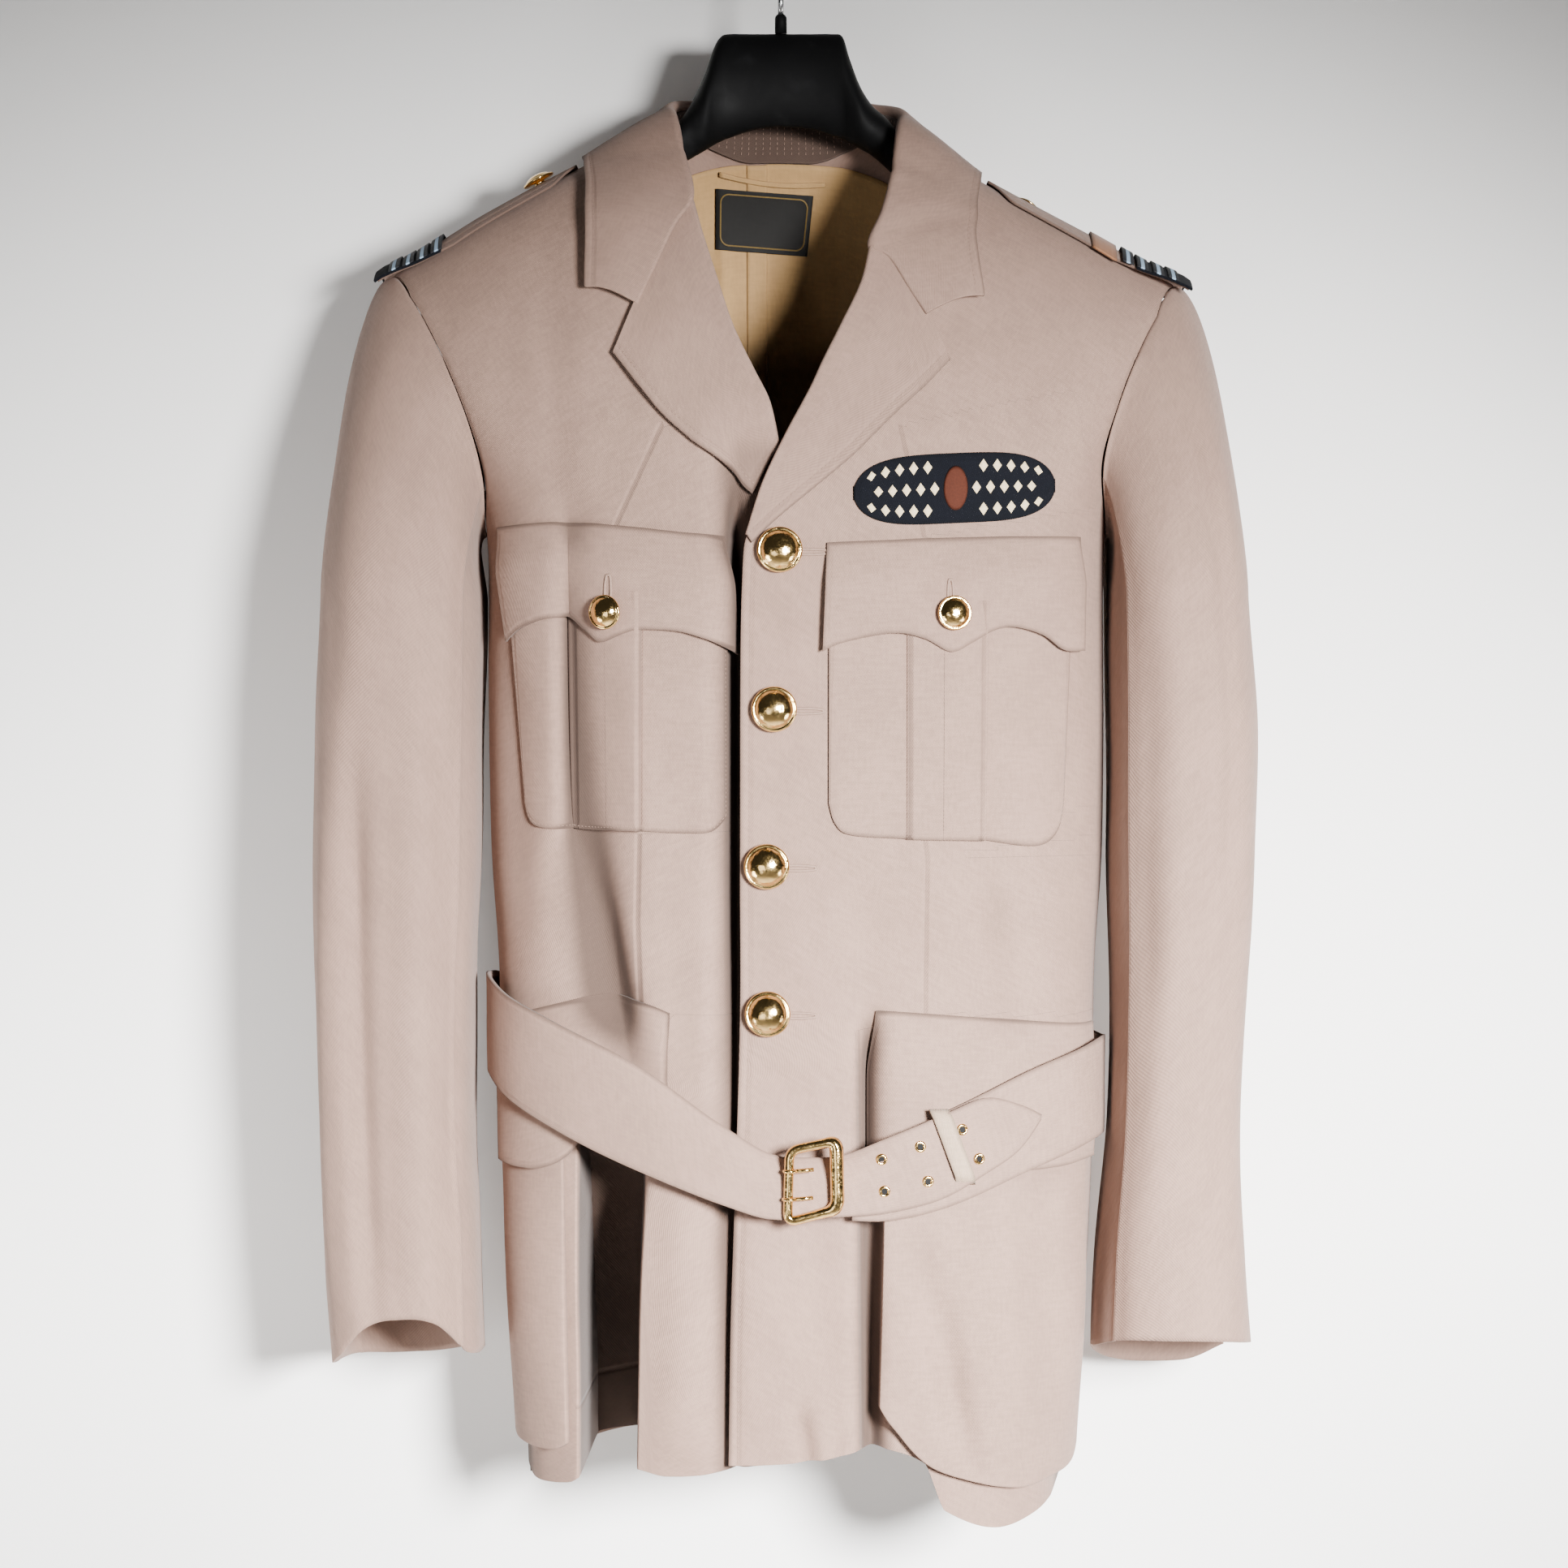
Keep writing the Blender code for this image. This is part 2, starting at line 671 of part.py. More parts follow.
def build_collar():
    cloth("collar_fall", collar_place, even(4), [i / 2 for i in range(2 * len(COLLAR) - 1)], 2.0)
    cloth("collar_stand", stand_place, even(3), [i / 2 for i in range(2 * len(STAND) - 1)])
    cloth("right_lapel", lapel_place(RIGHT_LAPEL, right_front_folds), even(5), keyed(RIGHT_LAPEL))
    cloth("left_lapel", lapel_place(LEFT_LAPEL, left_front_folds), even(5), keyed(LEFT_LAPEL))


# Pockets and flaps: each column runs from its top point to its lowest point
Drop = namedtuple("Drop", "top_x top_z low_x low_z cells")
RIGHT_CHEST_FLAP = [
    Drop(-156, -362, -147, -426, 1), Drop(-146, -361.5, -137, -418, 1), Drop(-120, -361, -115, -412, 2),
    Drop(-104, -362, -103, -420, 1), Drop(-93, -363.5, -95, -427, 1), Drop(-84, -364.5, -86, -424, 1),
    Drop(-75, -365.5, -75, -421, 2), Drop(-55, -368, -55, -422, 1), Drop(-44, -369, -42, -426, 1),
    Drop(-32, -370, -29, -434, 1),
]
LEFT_CHEST_FLAP = [
    Drop(25, -374, 22.5, -433, 1), Drop(36, -373.5, 34, -428, 1), Drop(60, -372.5, 60, -423, 2),
    Drop(76, -371.5, 77, -426, 1), Drop(90, -371, 91, -433, 1), Drop(102, -370.5, 102, -428, 1),
    Drop(113, -370, 113, -421.5, 1), Drop(124, -369.5, 124, -419, 1), Drop(140, -369, 140, -423, 1),
    Drop(152, -368.5, 152, -431, 1), Drop(164, -368, 163, -431, 1),
]
RIGHT_CHEST_BAG = [
    Drop(-149, -400, -139.5, -515, 1), Drop(-145, -400, -137, -524, 1), Drop(-138, -400, -131, -528, 1),
    Drop(-118, -400, -114.5, -528.5, 1), Drop(-112, -400, -111, -528.5, 1), Drop(-78, -400, -78, -530, 1),
    Drop(-73.5, -400, -74.5, -530, 1), Drop(-50, -400, -50, -531, 1), Drop(-38, -400, -38, -530, 1),
    Drop(-31, -400, -31, -522, 1),
]
LEFT_CHEST_BAG = [
    Drop(26, -405, 26, -515, 1), Drop(30, -405, 29.5, -526, 1), Drop(38, -405, 38, -532, 1),
    Drop(66, -405, 66, -534, 1), Drop(71.5, -405, 71.5, -534.5, 1), Drop(108, -405, 107.5, -535, 1),
    Drop(112.5, -405, 111.5, -535, 1), Drop(134, -405, 132, -538, 1), Drop(148, -405, 144, -537, 1),
    Drop(155, -405, 151.5, -529, 1), Drop(159, -405, 154.5, -515, 1),
]
LEFT_HIP_FLAP = [
    Drop(52, -627, 50.5, -712, 1), Drop(59, -627.5, 58, -712.5, 2), Drop(90, -630, 89, -714, 2),
    Drop(130, -633.5, 128, -715, 2), Drop(155, -636, 152, -714, 1), Drop(168, -637, 163, -712, 1),
    Drop(173, -637, 169, -711, 1),
]
RIGHT_HIP_FLAP = [
    Drop(-154, -634, -151.5, -713, 1), Drop(-149, -632.5, -147.5, -714.5, 1),
    Drop(-140, -630, -141, -715.5, 1), Drop(-122, -625, -129, -715, 1), Drop(-105, -621, -115, -708, 1),
    Drop(-88, -620, -98, -689, 1), Drop(-72, -624, -78, -683, 1), Drop(-60, -629, -60, -676, 1),
]
LEFT_HIP_BAG = [
    Drop(57, -704, 53.5, -840, 1), Drop(66, -704, 61, -851, 1), Drop(84, -704, 82, -872, 2),
    Drop(125, -704, 122, -884, 2), Drop(150, -704, 144, -881, 1), Drop(162, -704, 154.5, -877, 1),
    Drop(168, -704, 159.5, -868, 1),
]
RIGHT_HIP_BAG = [
    Drop(-154, -703, -145, -864, 1), Drop(-150, -703, -141.5, -867, 1), Drop(-138, -703, -132, -868.5, 1),
    Drop(-127, -703, -122, -868, 1), Drop(-119, -703, -115.5, -864, 1),
]


def patch_place(columns, folds, lift, bulge=0.0, pleat=None, sewn=None):
    """A patch on a front, from its top edge at v = 0 to its lowest edge at v = 1."""
    last = len(columns) - 1

    def place(key, v):
        column = smooth_row(columns, key)
        x = lerp(column.top_x, column.low_x, v)
        z = lerp(column.top_z, column.low_z, v)
        out = lift
        if sewn:
            out = lerp(sewn, lift, ease(v, 0, 0.45))
        if bulge:
            across = math.sin(math.pi * clamp(key / last, 0, 1)) ** 0.6
            down = math.sin(math.pi * ease(v, 0.06, 1) * 0.97) ** 0.7
            out += bulge * across * down
        if pleat:
            first, end = pleat
            out += PLEAT_LIFT * ease(key, first, first + 1) * ease(key, end + 1, end)
        return on_body(x, z, out, FRONT, folds)
    return place


def build_pockets():
    down = [0, 0.1, 0.25, 0.4, 0.55, 0.7, 0.85, 1]
    pleat = (3, 5)
    for side, folds, flap, bag, hip_flap, hip_bag, bulge in (
        ("right", right_chest_folds, RIGHT_CHEST_FLAP, RIGHT_CHEST_BAG, RIGHT_HIP_FLAP, RIGHT_HIP_BAG, 3),
        ("left", left_front_folds, LEFT_CHEST_FLAP, LEFT_CHEST_BAG, LEFT_HIP_FLAP, LEFT_HIP_BAG, 9),
    ):
        chest_bag_place = patch_place(bag, folds, POCKET_LIFT, pleat=pleat)
        chest_flap_place = patch_place(flap, folds, CHEST_FLAP_LIFT, sewn=FLAP_SEAM_LIFT)
        hip_bag_place = patch_place(hip_bag, folds, POCKET_LIFT, bulge)
        hip_flap_place = patch_place(hip_flap, folds, HIP_FLAP_LIFT, sewn=FLAP_SEAM_LIFT)
        cloth(f"{side}_chest_pocket", chest_bag_place, keyed(bag), down, THIN)
        cloth(f"{side}_chest_flap", chest_flap_place, keyed(flap), even(4))
        cloth(f"{side}_hip_pocket", hip_bag_place, keyed(hip_bag), even(8), THIN)
        cloth(f"{side}_hip_flap", hip_flap_place, keyed(hip_flap), even(5))


# Inside the back
def lining_place(x, drop):
    """The upper back's lining, with the raised strip of its pleat, at a drop below the shoulder line."""
    raised = 1.6 * ease(x, -20.5, -18.5) * ease(x, -7.5, -9.5)
    return on_body(x, ridge(clamp(x, -200, 200)) - drop, LINING_LIFT - raised, BACK)


def label_place(x, v):
    top = lerp(-157.5, -161.5, (x + 38) / 57)
    return on_body(lerp(x, x * 0.94 - 2.5, v), lerp(top, top - 34, v), LABEL_LIFT, BACK)


def loop_place(x, v):
    sag = 2.5 * math.sin(math.pi * (x + 36) / 62)
    return on_body(x, -148.5 - (x + 36) * 0.09 - sag - 2.5 * v, LABEL_LIFT - 0.2 - sag * 0.2, BACK)


def build_inside():
    columns = [-100, -75, -50, -30, -21, -18, -10, -7, 12, 35, 60, 85, 106]
    cloth("back_lining", lining_place, columns, [33, 55, 80, 110, 145, 180, 218], 1.0)
    cloth("neck_label", label_place, [-38, -24, -9.5, 5, 19], even(3), 0.8)
    cloth("hanging_loop", loop_place, [-36 + 62 * t for t in even(8)], even(1), 1.2)


# Belt: stations along its middle, from under its tip around the body and back to the tip
Belt = namedtuple("Belt", "turn z half lift lean")
BELT = [
    Belt(6.5, -722, 17, 11.0, 3),
    Belt(13, -717, 22, 10.0, 1),
    Belt(24, -706, 26, 10.0, 0),
    Belt(42, -688, 27, 10.0, 0),
    Belt(60, -677, 27, 10.0, 0),
    Belt(75, -672, 27, 8.5, 0),
    Belt(92, -672, 26, 4.5, 0),
    Belt(115, -668, 25, 4.0, 0),
    Belt(145, -661, 25, 3.6, 0),
    Belt(180, -654, 25, 3.6, 0),
    Belt(215, -647, 25, 3.6, 0),
    Belt(245, -641, 25, 4.0, 0),
    Belt(268, -636, 25.5, 4.5, 0),
    Belt(283, -638, 27, 9.0, 0),
    Belt(296, -648, 28, 10.5, 0),
    Belt(315, -663, 29, 13.0, 0),
    Belt(335, -684, 28, 16.0, 2),
    Belt(350, -708, 21, 18.0, 4),
    Belt(357, -720, 17, 18.0, 6),
    Belt(361, -721, 15.5, 17.5, 6),
    Belt(365.5, -720, 16, 16.5, 6),
    Belt(372.5, -714, 20, 15.5, 2),
    Belt(382, -705, 22.5, 14.0, 0),
    Belt(392, -694, 21, 13.4, 0),
    Belt(400, -687, 15, 13.2, 0),
    Belt(405, -684, 3, 13.4, 0),
]


def belt_place(v, key):
    row = smooth_row(BELT, key)
    side = 2 * v - 1
    return around(row.turn, row.z + row.half * side, row.lift - row.lean * max(side, 0) ** 2)


def build_belt():
    cloth("belt", belt_place, even(2), [i / 2 for i in range(2 * (len(BELT) - 1) + 1)], 1.8)
    keeper = [(lerp(83, 97, t), lerp(-680, -720, t)) for t in even(4)]

    def keeper_place(u, v):
        x, z = keeper[v]
        return around(math.degrees(side_angle(x + 5 * u, z)), z, KEEPER_LIFT)
    cloth("belt_keeper", keeper_place, [-1, 0, 1], range(5), 1.4)
    centre = around(math.degrees(side_angle(17, -718)), -718, BUCKLE_LIFT)
    corners = [(-12.3, 18), (12.6, 23.2), (13.4, -13.2), (-13.4, -20.5)]
    rod("buckle_frame", rounded(centre, corners, 5.5), BUCKLE_WIRE, 8, True)
    for name, bar, height in (("buckle_prong_upper", -9.9, 7), ("buckle_prong_lower", -10.3, -8)):
        start = centre + Vector((bar, -0.2, height))
        rod(name, [start, start + Vector((5, -1.2, 0.4)), start + Vector((10.5, -1.0, 1.0))], PRONG_WIRE, 6)


def rounded(centre, corners, radius):
    """A closed path through corners, each cut by an arc of a few points."""
    points = []
    count = len(corners)
    for i in range(count):
        at = Vector((corners[i][0], 0, corners[i][1]))
        before = Vector((corners[i - 1][0], 0, corners[i - 1][1]))
        after = Vector((corners[(i + 1) % count][0], 0, corners[(i + 1) % count][1]))
        start = at + (before - at).normalized() * radius
        end = at + (after - at).normalized() * radius
        for j in range(4):
            t = j / 3
            points.append(centre + start * (1 - t) ** 2 + at * 2 * t * (1 - t) + end * t * t)
    return points


# Shoulders
def strap_lift(x):
    """The strap's height over the cloth, which grows a little where it crosses the sleeve's seam."""
    return STRAP_LIFT + 1.8 * ease(abs(x), 200, 220)


def strap_place(end):
    """Places a strap across and along the shoulder; it narrows to its point near the neck end."""
    def place(across, x):
        half = 22 * (1 - 0.55 * ease(abs(x), abs(end) + 14, abs(end)))
        return over_shoulder(x, across * half, strap_lift(x))
    return place


def slide_place(across, x):
    """Places what is slid over a strap."""
    return over_shoulder(x, across * 24.5, strap_lift(x) + SLIDE_LIFT)


def build_shoulders():
    across = [-1, -0.6, -0.2, 0.2, 0.6, 1]
    along = (0, 0.05, 0.12, 0.3, 0.5, 0.7, 0.85, 1)
    for name, side, inner, outer, slide_at, button_x, button_y in (
        ("left", 1, 116, 226.5, 198, 137, -12),
        ("right", -1, -114.5, -223.5, -189, -135, 2),
    ):
        cloth(f"{name}_shoulder_strap", strap_place(inner), across, [lerp(inner, outer, t) for t in along])
        stations = [lerp(slide_at, outer + side * 0.5, t) for t in even(3)]
        cloth(f"{name}_rank_slide", slide_place, across, stations, 1.4)
        place = over_shoulder(button_x, button_y, STRAP_LIFT + 1.5)
        outward = over_shoulder(button_x, button_y, STRAP_LIFT + 4) - place
        button(f"{name}_strap_button", place, outward, 9.5, 5.5)
    cloth("left_strap_keeper", slide_place, across, [173, 187], 1.4)


def button(name, place, outward, radius, height):
    """A domed button that stands on the cloth on a short shank."""
    axis = outward.normalized()
    side = axis.cross(Vector((0.1, 0.2, 1))).normalized()
    up = axis.cross(side)
    profile = [(0.35, 0), (0.35, 0.22), (0.96, 0.26), (1, 0.4), (0.86, 0.72), (0.55, 0.93), (0.2, 1)]
    rings = []
    for wide, tall in profile:
        ring = []
        for turn in [math.tau * k / BUTTON_SIDES for k in range(BUTTON_SIDES)]:
            spoke = side * math.cos(turn) + up * math.sin(turn)
            ring.append(place + axis * height * tall + spoke * radius * wide)
        rings.append(ring)
    skin_over(name, rings)


Fastening = namedtuple("Fastening", "name x z lift radius height")
BUTTONS = [
    Fastening("front_button_1", -0.5, -378, 1.3, 12.4, 10),
    Fastening("front_button_2", -3.5, -464, 1.3, 12.4, 10),
    Fastening("front_button_3", -7.5, -549, 1.3, 12.4, 10),
    Fastening("front_button_4", -7, -629, 1.3, 12.4, 10),
    Fastening("left_chest_button", 92, -412, 8.0, 9.4, 7.5),
    Fastening("right_chest_button", -91, -411, 8.0, 9.4, 7.5),
]


def build_buttons():
    for b in BUTTONS:
        folds = right_front_folds if b.name.startswith("right") else left_front_folds
        place = on_body(b.x, b.z, b.lift, FRONT, folds)
        button(b.name, place, on_body(b.x, b.z, b.lift + 4, FRONT, folds) - place, b.radius, b.height)


def chest_patch_place(u, v):
    x = PATCH_CENTRE[0] + PATCH_HALF[0] * u
    half = PATCH_HALF[1] * max(1 - abs(u) ** 4, 0.04) ** 0.5
    z = PATCH_CENTRE[1] + 0.06 * PATCH_HALF[0] * u + half * v
    return on_body(x, z, PATCH_LIFT, FRONT, left_front_folds)


def build_patch():
    along = [-1, -0.97, -0.9, -0.75, -0.5, -0.25, 0, 0.25, 0.5, 0.75, 0.9, 0.97, 1]
    cloth("chest_patch", chest_patch_place, along, [-1, -0.4, 0.4, 1], THIN)


# The hanger: stations along its length, whose arms follow the shoulder line where top is 0
Station = namedtuple("Station", "x top low depth")
HANGER = [
    Station(-208, -213, -223, 8), Station(-190, -200.5, -216, 11), Station(-160, -182.5, -203, 15),
    Station(-111, -155.8, -180, 17), Station(-88, -143, -168, 17), Station(-63, -134, -155, 13),
    Station(-57, -127, -152, 13), Station(-50, -116, -148, 13), Station(-43, -101, -144, 16),
    Station(-38, -86, -141, 15), Station(-34, -79.5, -139, 14), Station(-29, -78, -137, 13),
    Station(-15, -78, -132.5, 12), Station(0, -78, -131, 12), Station(17, -78, -132.5, 12),
    Station(29, -78, -136, 13), Station(35, -79.5, -138, 14), Station(39, -92, -140, 15),
    Station(45, -108, -143, 16), Station(52, -119, -147, 14), Station(60, -126, -154, 13),
    Station(68, -134.5, -161, 13), Station(90, -149, -173, 15), Station(118, -168, -191, 17),
    Station(165, -193.5, -213, 15), Station(193, -209, -224, 11), Station(211, -220, -229, 8),
]


def circle(sides):
    return [(math.cos(math.tau * k / sides), math.sin(math.tau * k / sides)) for k in range(sides)]


def build_hanger():
    rings = []
    for station in HANGER:
        centre = (station.top + station.low) / 2
        half = (station.top - station.low) / 2
        rings.append([Vector((station.x, station.depth * c, centre + half * s)) for c, s in circle(12)])
    skin_over("hanger_body", rings)
    rings = []
    for radius, z in ((PLUG, -77.6), (PLUG, -68.5), (0.8 * PLUG, -67.2)):
        rings.append([Vector((radius * c, radius * s, z)) for c, s in circle(14)])
    skin_over("hanger_plug", rings)
    shank = ((0, -66.8), (0, -58), (0, -50), (-3, -44), (-10.5, -38))
    wire = [Vector((x, 0, z)) for x, z in shank]
    ring = CROWN + WIRE
    for degrees in range(215, -41, -15):
        a = math.radians(degrees)
        wire.append(Vector((ring * math.cos(a), 0, -CROWN + ring * math.sin(a))))
    rod("hanger_hook", wire, WIRE, 6)


# Colours
Look = namedtuple("Look", "colour rough metal")
CLOTH = Look((0.47, 0.385, 0.33), 0.85, 0.0)
LOOKS = [
    (("button", "buckle"), Look((0.75, 0.52, 0.2), 0.25, 1.0)),
    (("hanger", "plug"), Look((0.012, 0.012, 0.012), 0.3, 0.0)),
    (("lining", "loop"), Look((0.36, 0.24, 0.12), 0.8, 0.0)),
    (("label", "slide", "patch"), Look((0.015, 0.018, 0.03), 0.8, 0.0)),
    (("strap_keeper",), Look((0.3, 0.12, 0.05), 0.7, 0.0)),
]


def main():
    for thing in list(bpy.data.objects):
        bpy.data.objects.remove(thing)
    build_body()
    build_sleeves()
    build_collar()
    build_pockets()
    build_inside()
    build_belt()
    build_shoulders()
    build_buttons()
    build_patch()
    build_hanger()


main()
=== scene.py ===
"""Dresses a belted bush jacket that hangs on a plain suit hanger.

The packed solids give the frame. Each piece of cloth is made again as a thin shell on the same surface,
with its creases, rolled and folded edges, seams and stitches, and a woven finish. Sizes in the tables
are in millimetres. +X is the viewer's right and the front faces -Y. Left and right in names are the
wearer's, so the left front is on the viewer's right.
"""

import functools
import math
from collections import namedtuple

import bmesh
import bpy
from bpy.props import FloatProperty, FloatVectorProperty, PointerProperty
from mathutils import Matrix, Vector, noise


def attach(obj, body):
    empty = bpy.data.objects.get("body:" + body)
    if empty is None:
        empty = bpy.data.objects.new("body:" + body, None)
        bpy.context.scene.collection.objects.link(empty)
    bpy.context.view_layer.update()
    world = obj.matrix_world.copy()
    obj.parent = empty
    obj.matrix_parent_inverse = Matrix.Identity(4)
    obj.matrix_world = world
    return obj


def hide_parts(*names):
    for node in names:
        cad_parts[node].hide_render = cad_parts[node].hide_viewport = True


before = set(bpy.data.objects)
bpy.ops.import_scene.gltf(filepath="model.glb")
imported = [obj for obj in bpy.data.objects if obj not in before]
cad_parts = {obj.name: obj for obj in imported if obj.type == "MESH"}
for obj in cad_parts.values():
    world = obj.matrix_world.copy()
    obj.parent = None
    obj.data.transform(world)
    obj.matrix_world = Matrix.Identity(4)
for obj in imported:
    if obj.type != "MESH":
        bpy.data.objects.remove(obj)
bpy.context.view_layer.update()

bl_info = {
    "name": "Bush jacket on a hanger",
    "version": (1, 0, 0),
    "blender": (4, 5, 0),
    "location": "3D View > Sidebar > Bush Jacket",
    "description": "Makes a belted bush jacket with flapped pockets, hung on a suit hanger",
    "category": "Object",
}

MM = 0.001

# Cloth thicknesses and the gap left in a seam
WALL = 1.3
THIN = 1.1
SEAM = 0.3

# How square the body is in plan, and how far below the shoulder line it reaches its full depth
ROUND = 2.5
DROP = 150.0

FRONT = -1
BACK = 1

# The back's centre seam, and how wide and how deep its neck is cut
BACK_CENTRE = 3.0
NECK_SIDE = 80
NECK_DROP = 29

# How far the middle of each layer's wall lies outside the middle of the body's wall
COLLAR_LIFT = 5.0
POCKET_LIFT = 1.9
PLEAT_LIFT = 3.0
CHEST_FLAP_LIFT = 6.4
HIP_FLAP_LIFT = 5.6
FLAP_SEAM_LIFT = 1.7
PATCH_LIFT = 1.6
STRAP_LIFT = 2.6
SLIDE_LIFT = 1.9
KEEPER_LIFT = 16.6
BUCKLE_LIFT = 22.0
LINING_LIFT = -1.6
LABEL_LIFT = -4.4

# Sleeves: the rows of a front or back that make its armhole, and the turns of a sleeve's two seams
ARMHOLE_ROWS = 5
SEAM_TURNS = (-40, 141, 320)
SLEEVE_ROUND = 2.8

# The bar over the left chest pocket
PATCH_CENTRE = (94.5, -344)
PATCH_HALF = (55, 19)

# Radii of the hanger's plug and wire, and the hook's inner crown
PLUG = 3.4
WIRE = 1.7
CROWN = 20.0

# How far apart the grid lines of the cloth are, where it is smooth
STEP = 3.4

# How far the rows of stitches lie from the edges, and how far they stand off the middle of the cloth
EDGE_INSET = 5.0
CLOSE_INSET = 1.6
STITCH_LIFT = 0.6

# How far the right front dips to go under the placket
PLACKET_DIP = 10

# The heights between which a front or back turns from following the shoulder line to lying level, and the
# height from which it is drawn out to its hem
SLOPED_TO = -280
LEVEL_FROM = -400
HEM_FROM = -735

# A sleeve's cap, at the shoulder's end and at the underarm: how steeply it leaves the armhole in degrees,
# how hard it is pulled outwards there, and how hard it falls into the tube
CAP_STEEP = (32, 42)
CAP_PULL = (70, 24)
CAP_FALL = (150, 34)

# How far past a hip pocket's edge, in columns of its table, its side walls are drawn
WRAP = 0.3

# The columns of a chest pocket's table that bound its pleat
PLEAT_COLUMNS = (3, 5)

# Thicknesses of the other cloths
COLLAR_WALL = 2.0
LAPEL_WALL = 1.8
BELT_WALL = 1.8
LINING_WALL = 1.0
LABEL_WALL = 0.8
LOOP_WALL = 1.2
RIBBON_WALL = 1.4
BRAID_WALL = 0.8

# The distance between the closest rows' stitches, and their size
FINE_STITCH = (2.4, 0.22)

# The way that the front faces, and the middle of the neck, around which the collar turns
FORWARD = Vector((0, -1, 0))
NECK_MIDDLE = Vector((3, 10, -150))

# The belt's length for each degree of turn around the body, the ends of its keeper's middle line, and the
# radii of the prongs and of the loops that hold them
TURN_LENGTH = 2.3
KEEPER_ENDS = ((83, 97), (-680, -720))
PRONG = 1.1
PRONG_LOOP = 3.1

# How much painted shade the collar's stand is given, on the scale of the folds' depth in millimetres
STAND_SHADE = 13.0

# How much painted shade a stitched piece is given along its edges, on the same scale
EDGE_SHADE = 7.5


# Colours, as the cloth shows in even light
STONE = (0.27, 0.173, 0.134)
THREAD = (0.26, 0.17, 0.132)
TAN = (0.40, 0.24, 0.10)
NAVY = (0.003, 0.0035, 0.006)
CREAM = (0.66, 0.53, 0.33)
RUST = (0.055, 0.014, 0.007)
GOLD_THREAD = (0.17, 0.11, 0.035)
GILT = (0.92, 0.62, 0.24)
COPPER = (0.28, 0.13, 0.065)
PALE_BLUE = (0.30, 0.42, 0.56)
BLACK = (0.004, 0.004, 0.0042)
LOOP_CREAM = (0.38, 0.275, 0.195)
LABEL_BLACK = (0.014, 0.013, 0.012)
SCUFFED = (0.009, 0.009, 0.0095)
STEEL = (0.55, 0.55, 0.55)
WALL_PAINT = (0.94, 0.925, 0.905)

# How much light cloth and thread mirror
CLOTH_SPECULAR = 0.15


class Nodes:
    """Adds nodes to a tree and joins them, from left to right."""

    def __init__(self, tree):
        self.tree = tree
        self.column = 0

    def add(self, kind, settings=None, **inputs):
        made = self.tree.nodes.new(kind)
        made.location = (self.column * 190 - 900, 0)
        self.column += 1
        for name, value in (settings or {}).items():
            setattr(made, name, value)
        for name, value in inputs.items():
            self.set(made, name.replace("_", " "), value)
        return made

    def set(self, made, name, value):
        socket = made.inputs[int(name[5:])] if name.startswith("input") else made.inputs[name]
        if isinstance(value, bpy.types.NodeSocket):
            self.tree.links.new(value, socket)
        else:
            socket.default_value = value

    def sum(self, operation, a, b=0.0, c=None):
        inputs = {"input0": a, "input1": b}
        if c is not None:
            inputs["input2"] = c
        return self.add("ShaderNodeMath", {"operation": operation}, **inputs).outputs[0]

    def ramp(self, value, low, high, to_low=0.0, to_high=1.0):
        made = self.add("ShaderNodeMapRange", {"interpolation_type": "SMOOTHSTEP"}, Value=value)
        ends = {"From Min": low, "From Max": high, "To Min": to_low, "To Max": to_high}
        for name, number in ends.items():
            made.inputs[name].default_value = number
        return made.outputs["Result"]

    def mix(self, share, a, b, blend="MIX"):
        made = self.add("ShaderNodeMix", {"data_type": "RGBA", "blend_type": blend})
        self.set(made, "input0", share)
        self.set(made, "input6", a if isinstance(a, bpy.types.NodeSocket) else (*a, 1))
        self.set(made, "input7", b if isinstance(b, bpy.types.NodeSocket) else (*b, 1))
        return made.outputs[2]

    def mark(self, name):
        return self.add("ShaderNodeAttribute", {"attribute_name": name}).outputs["Fac"]

    def noise(self, scale, detail, place=None, stretch=None):
        if place is None:
            place = self.add("ShaderNodeTexCoord").outputs["Object"]
        if stretch:
            place = self.add("ShaderNodeMapping", Vector=place, Scale=stretch).outputs[0]
        return self.add("ShaderNodeTexNoise", Vector=place, Scale=scale, Detail=detail).outputs[0]

    def bump(self, height, strength, distance, **inputs):
        made = self.add("ShaderNodeBump", Strength=strength, Distance=distance, Height=height, **inputs)
        return made.outputs[0]


def group(name, takes, gives):
    """A new node group with its sockets, and its input and output nodes."""
    tree = bpy.data.node_groups.new(name, "ShaderNodeTree")
    for title, kind, default in takes:
        socket = tree.interface.new_socket(name=title, in_out="INPUT", socket_type=kind)
        if default is not None:
            socket.default_value = default
    for title, kind in gives:
        tree.interface.new_socket(name=title, in_out="OUTPUT", socket_type=kind)
    nodes = Nodes(tree)
    return tree, nodes, nodes.add("NodeGroupInput"), nodes.add("NodeGroupOutput")


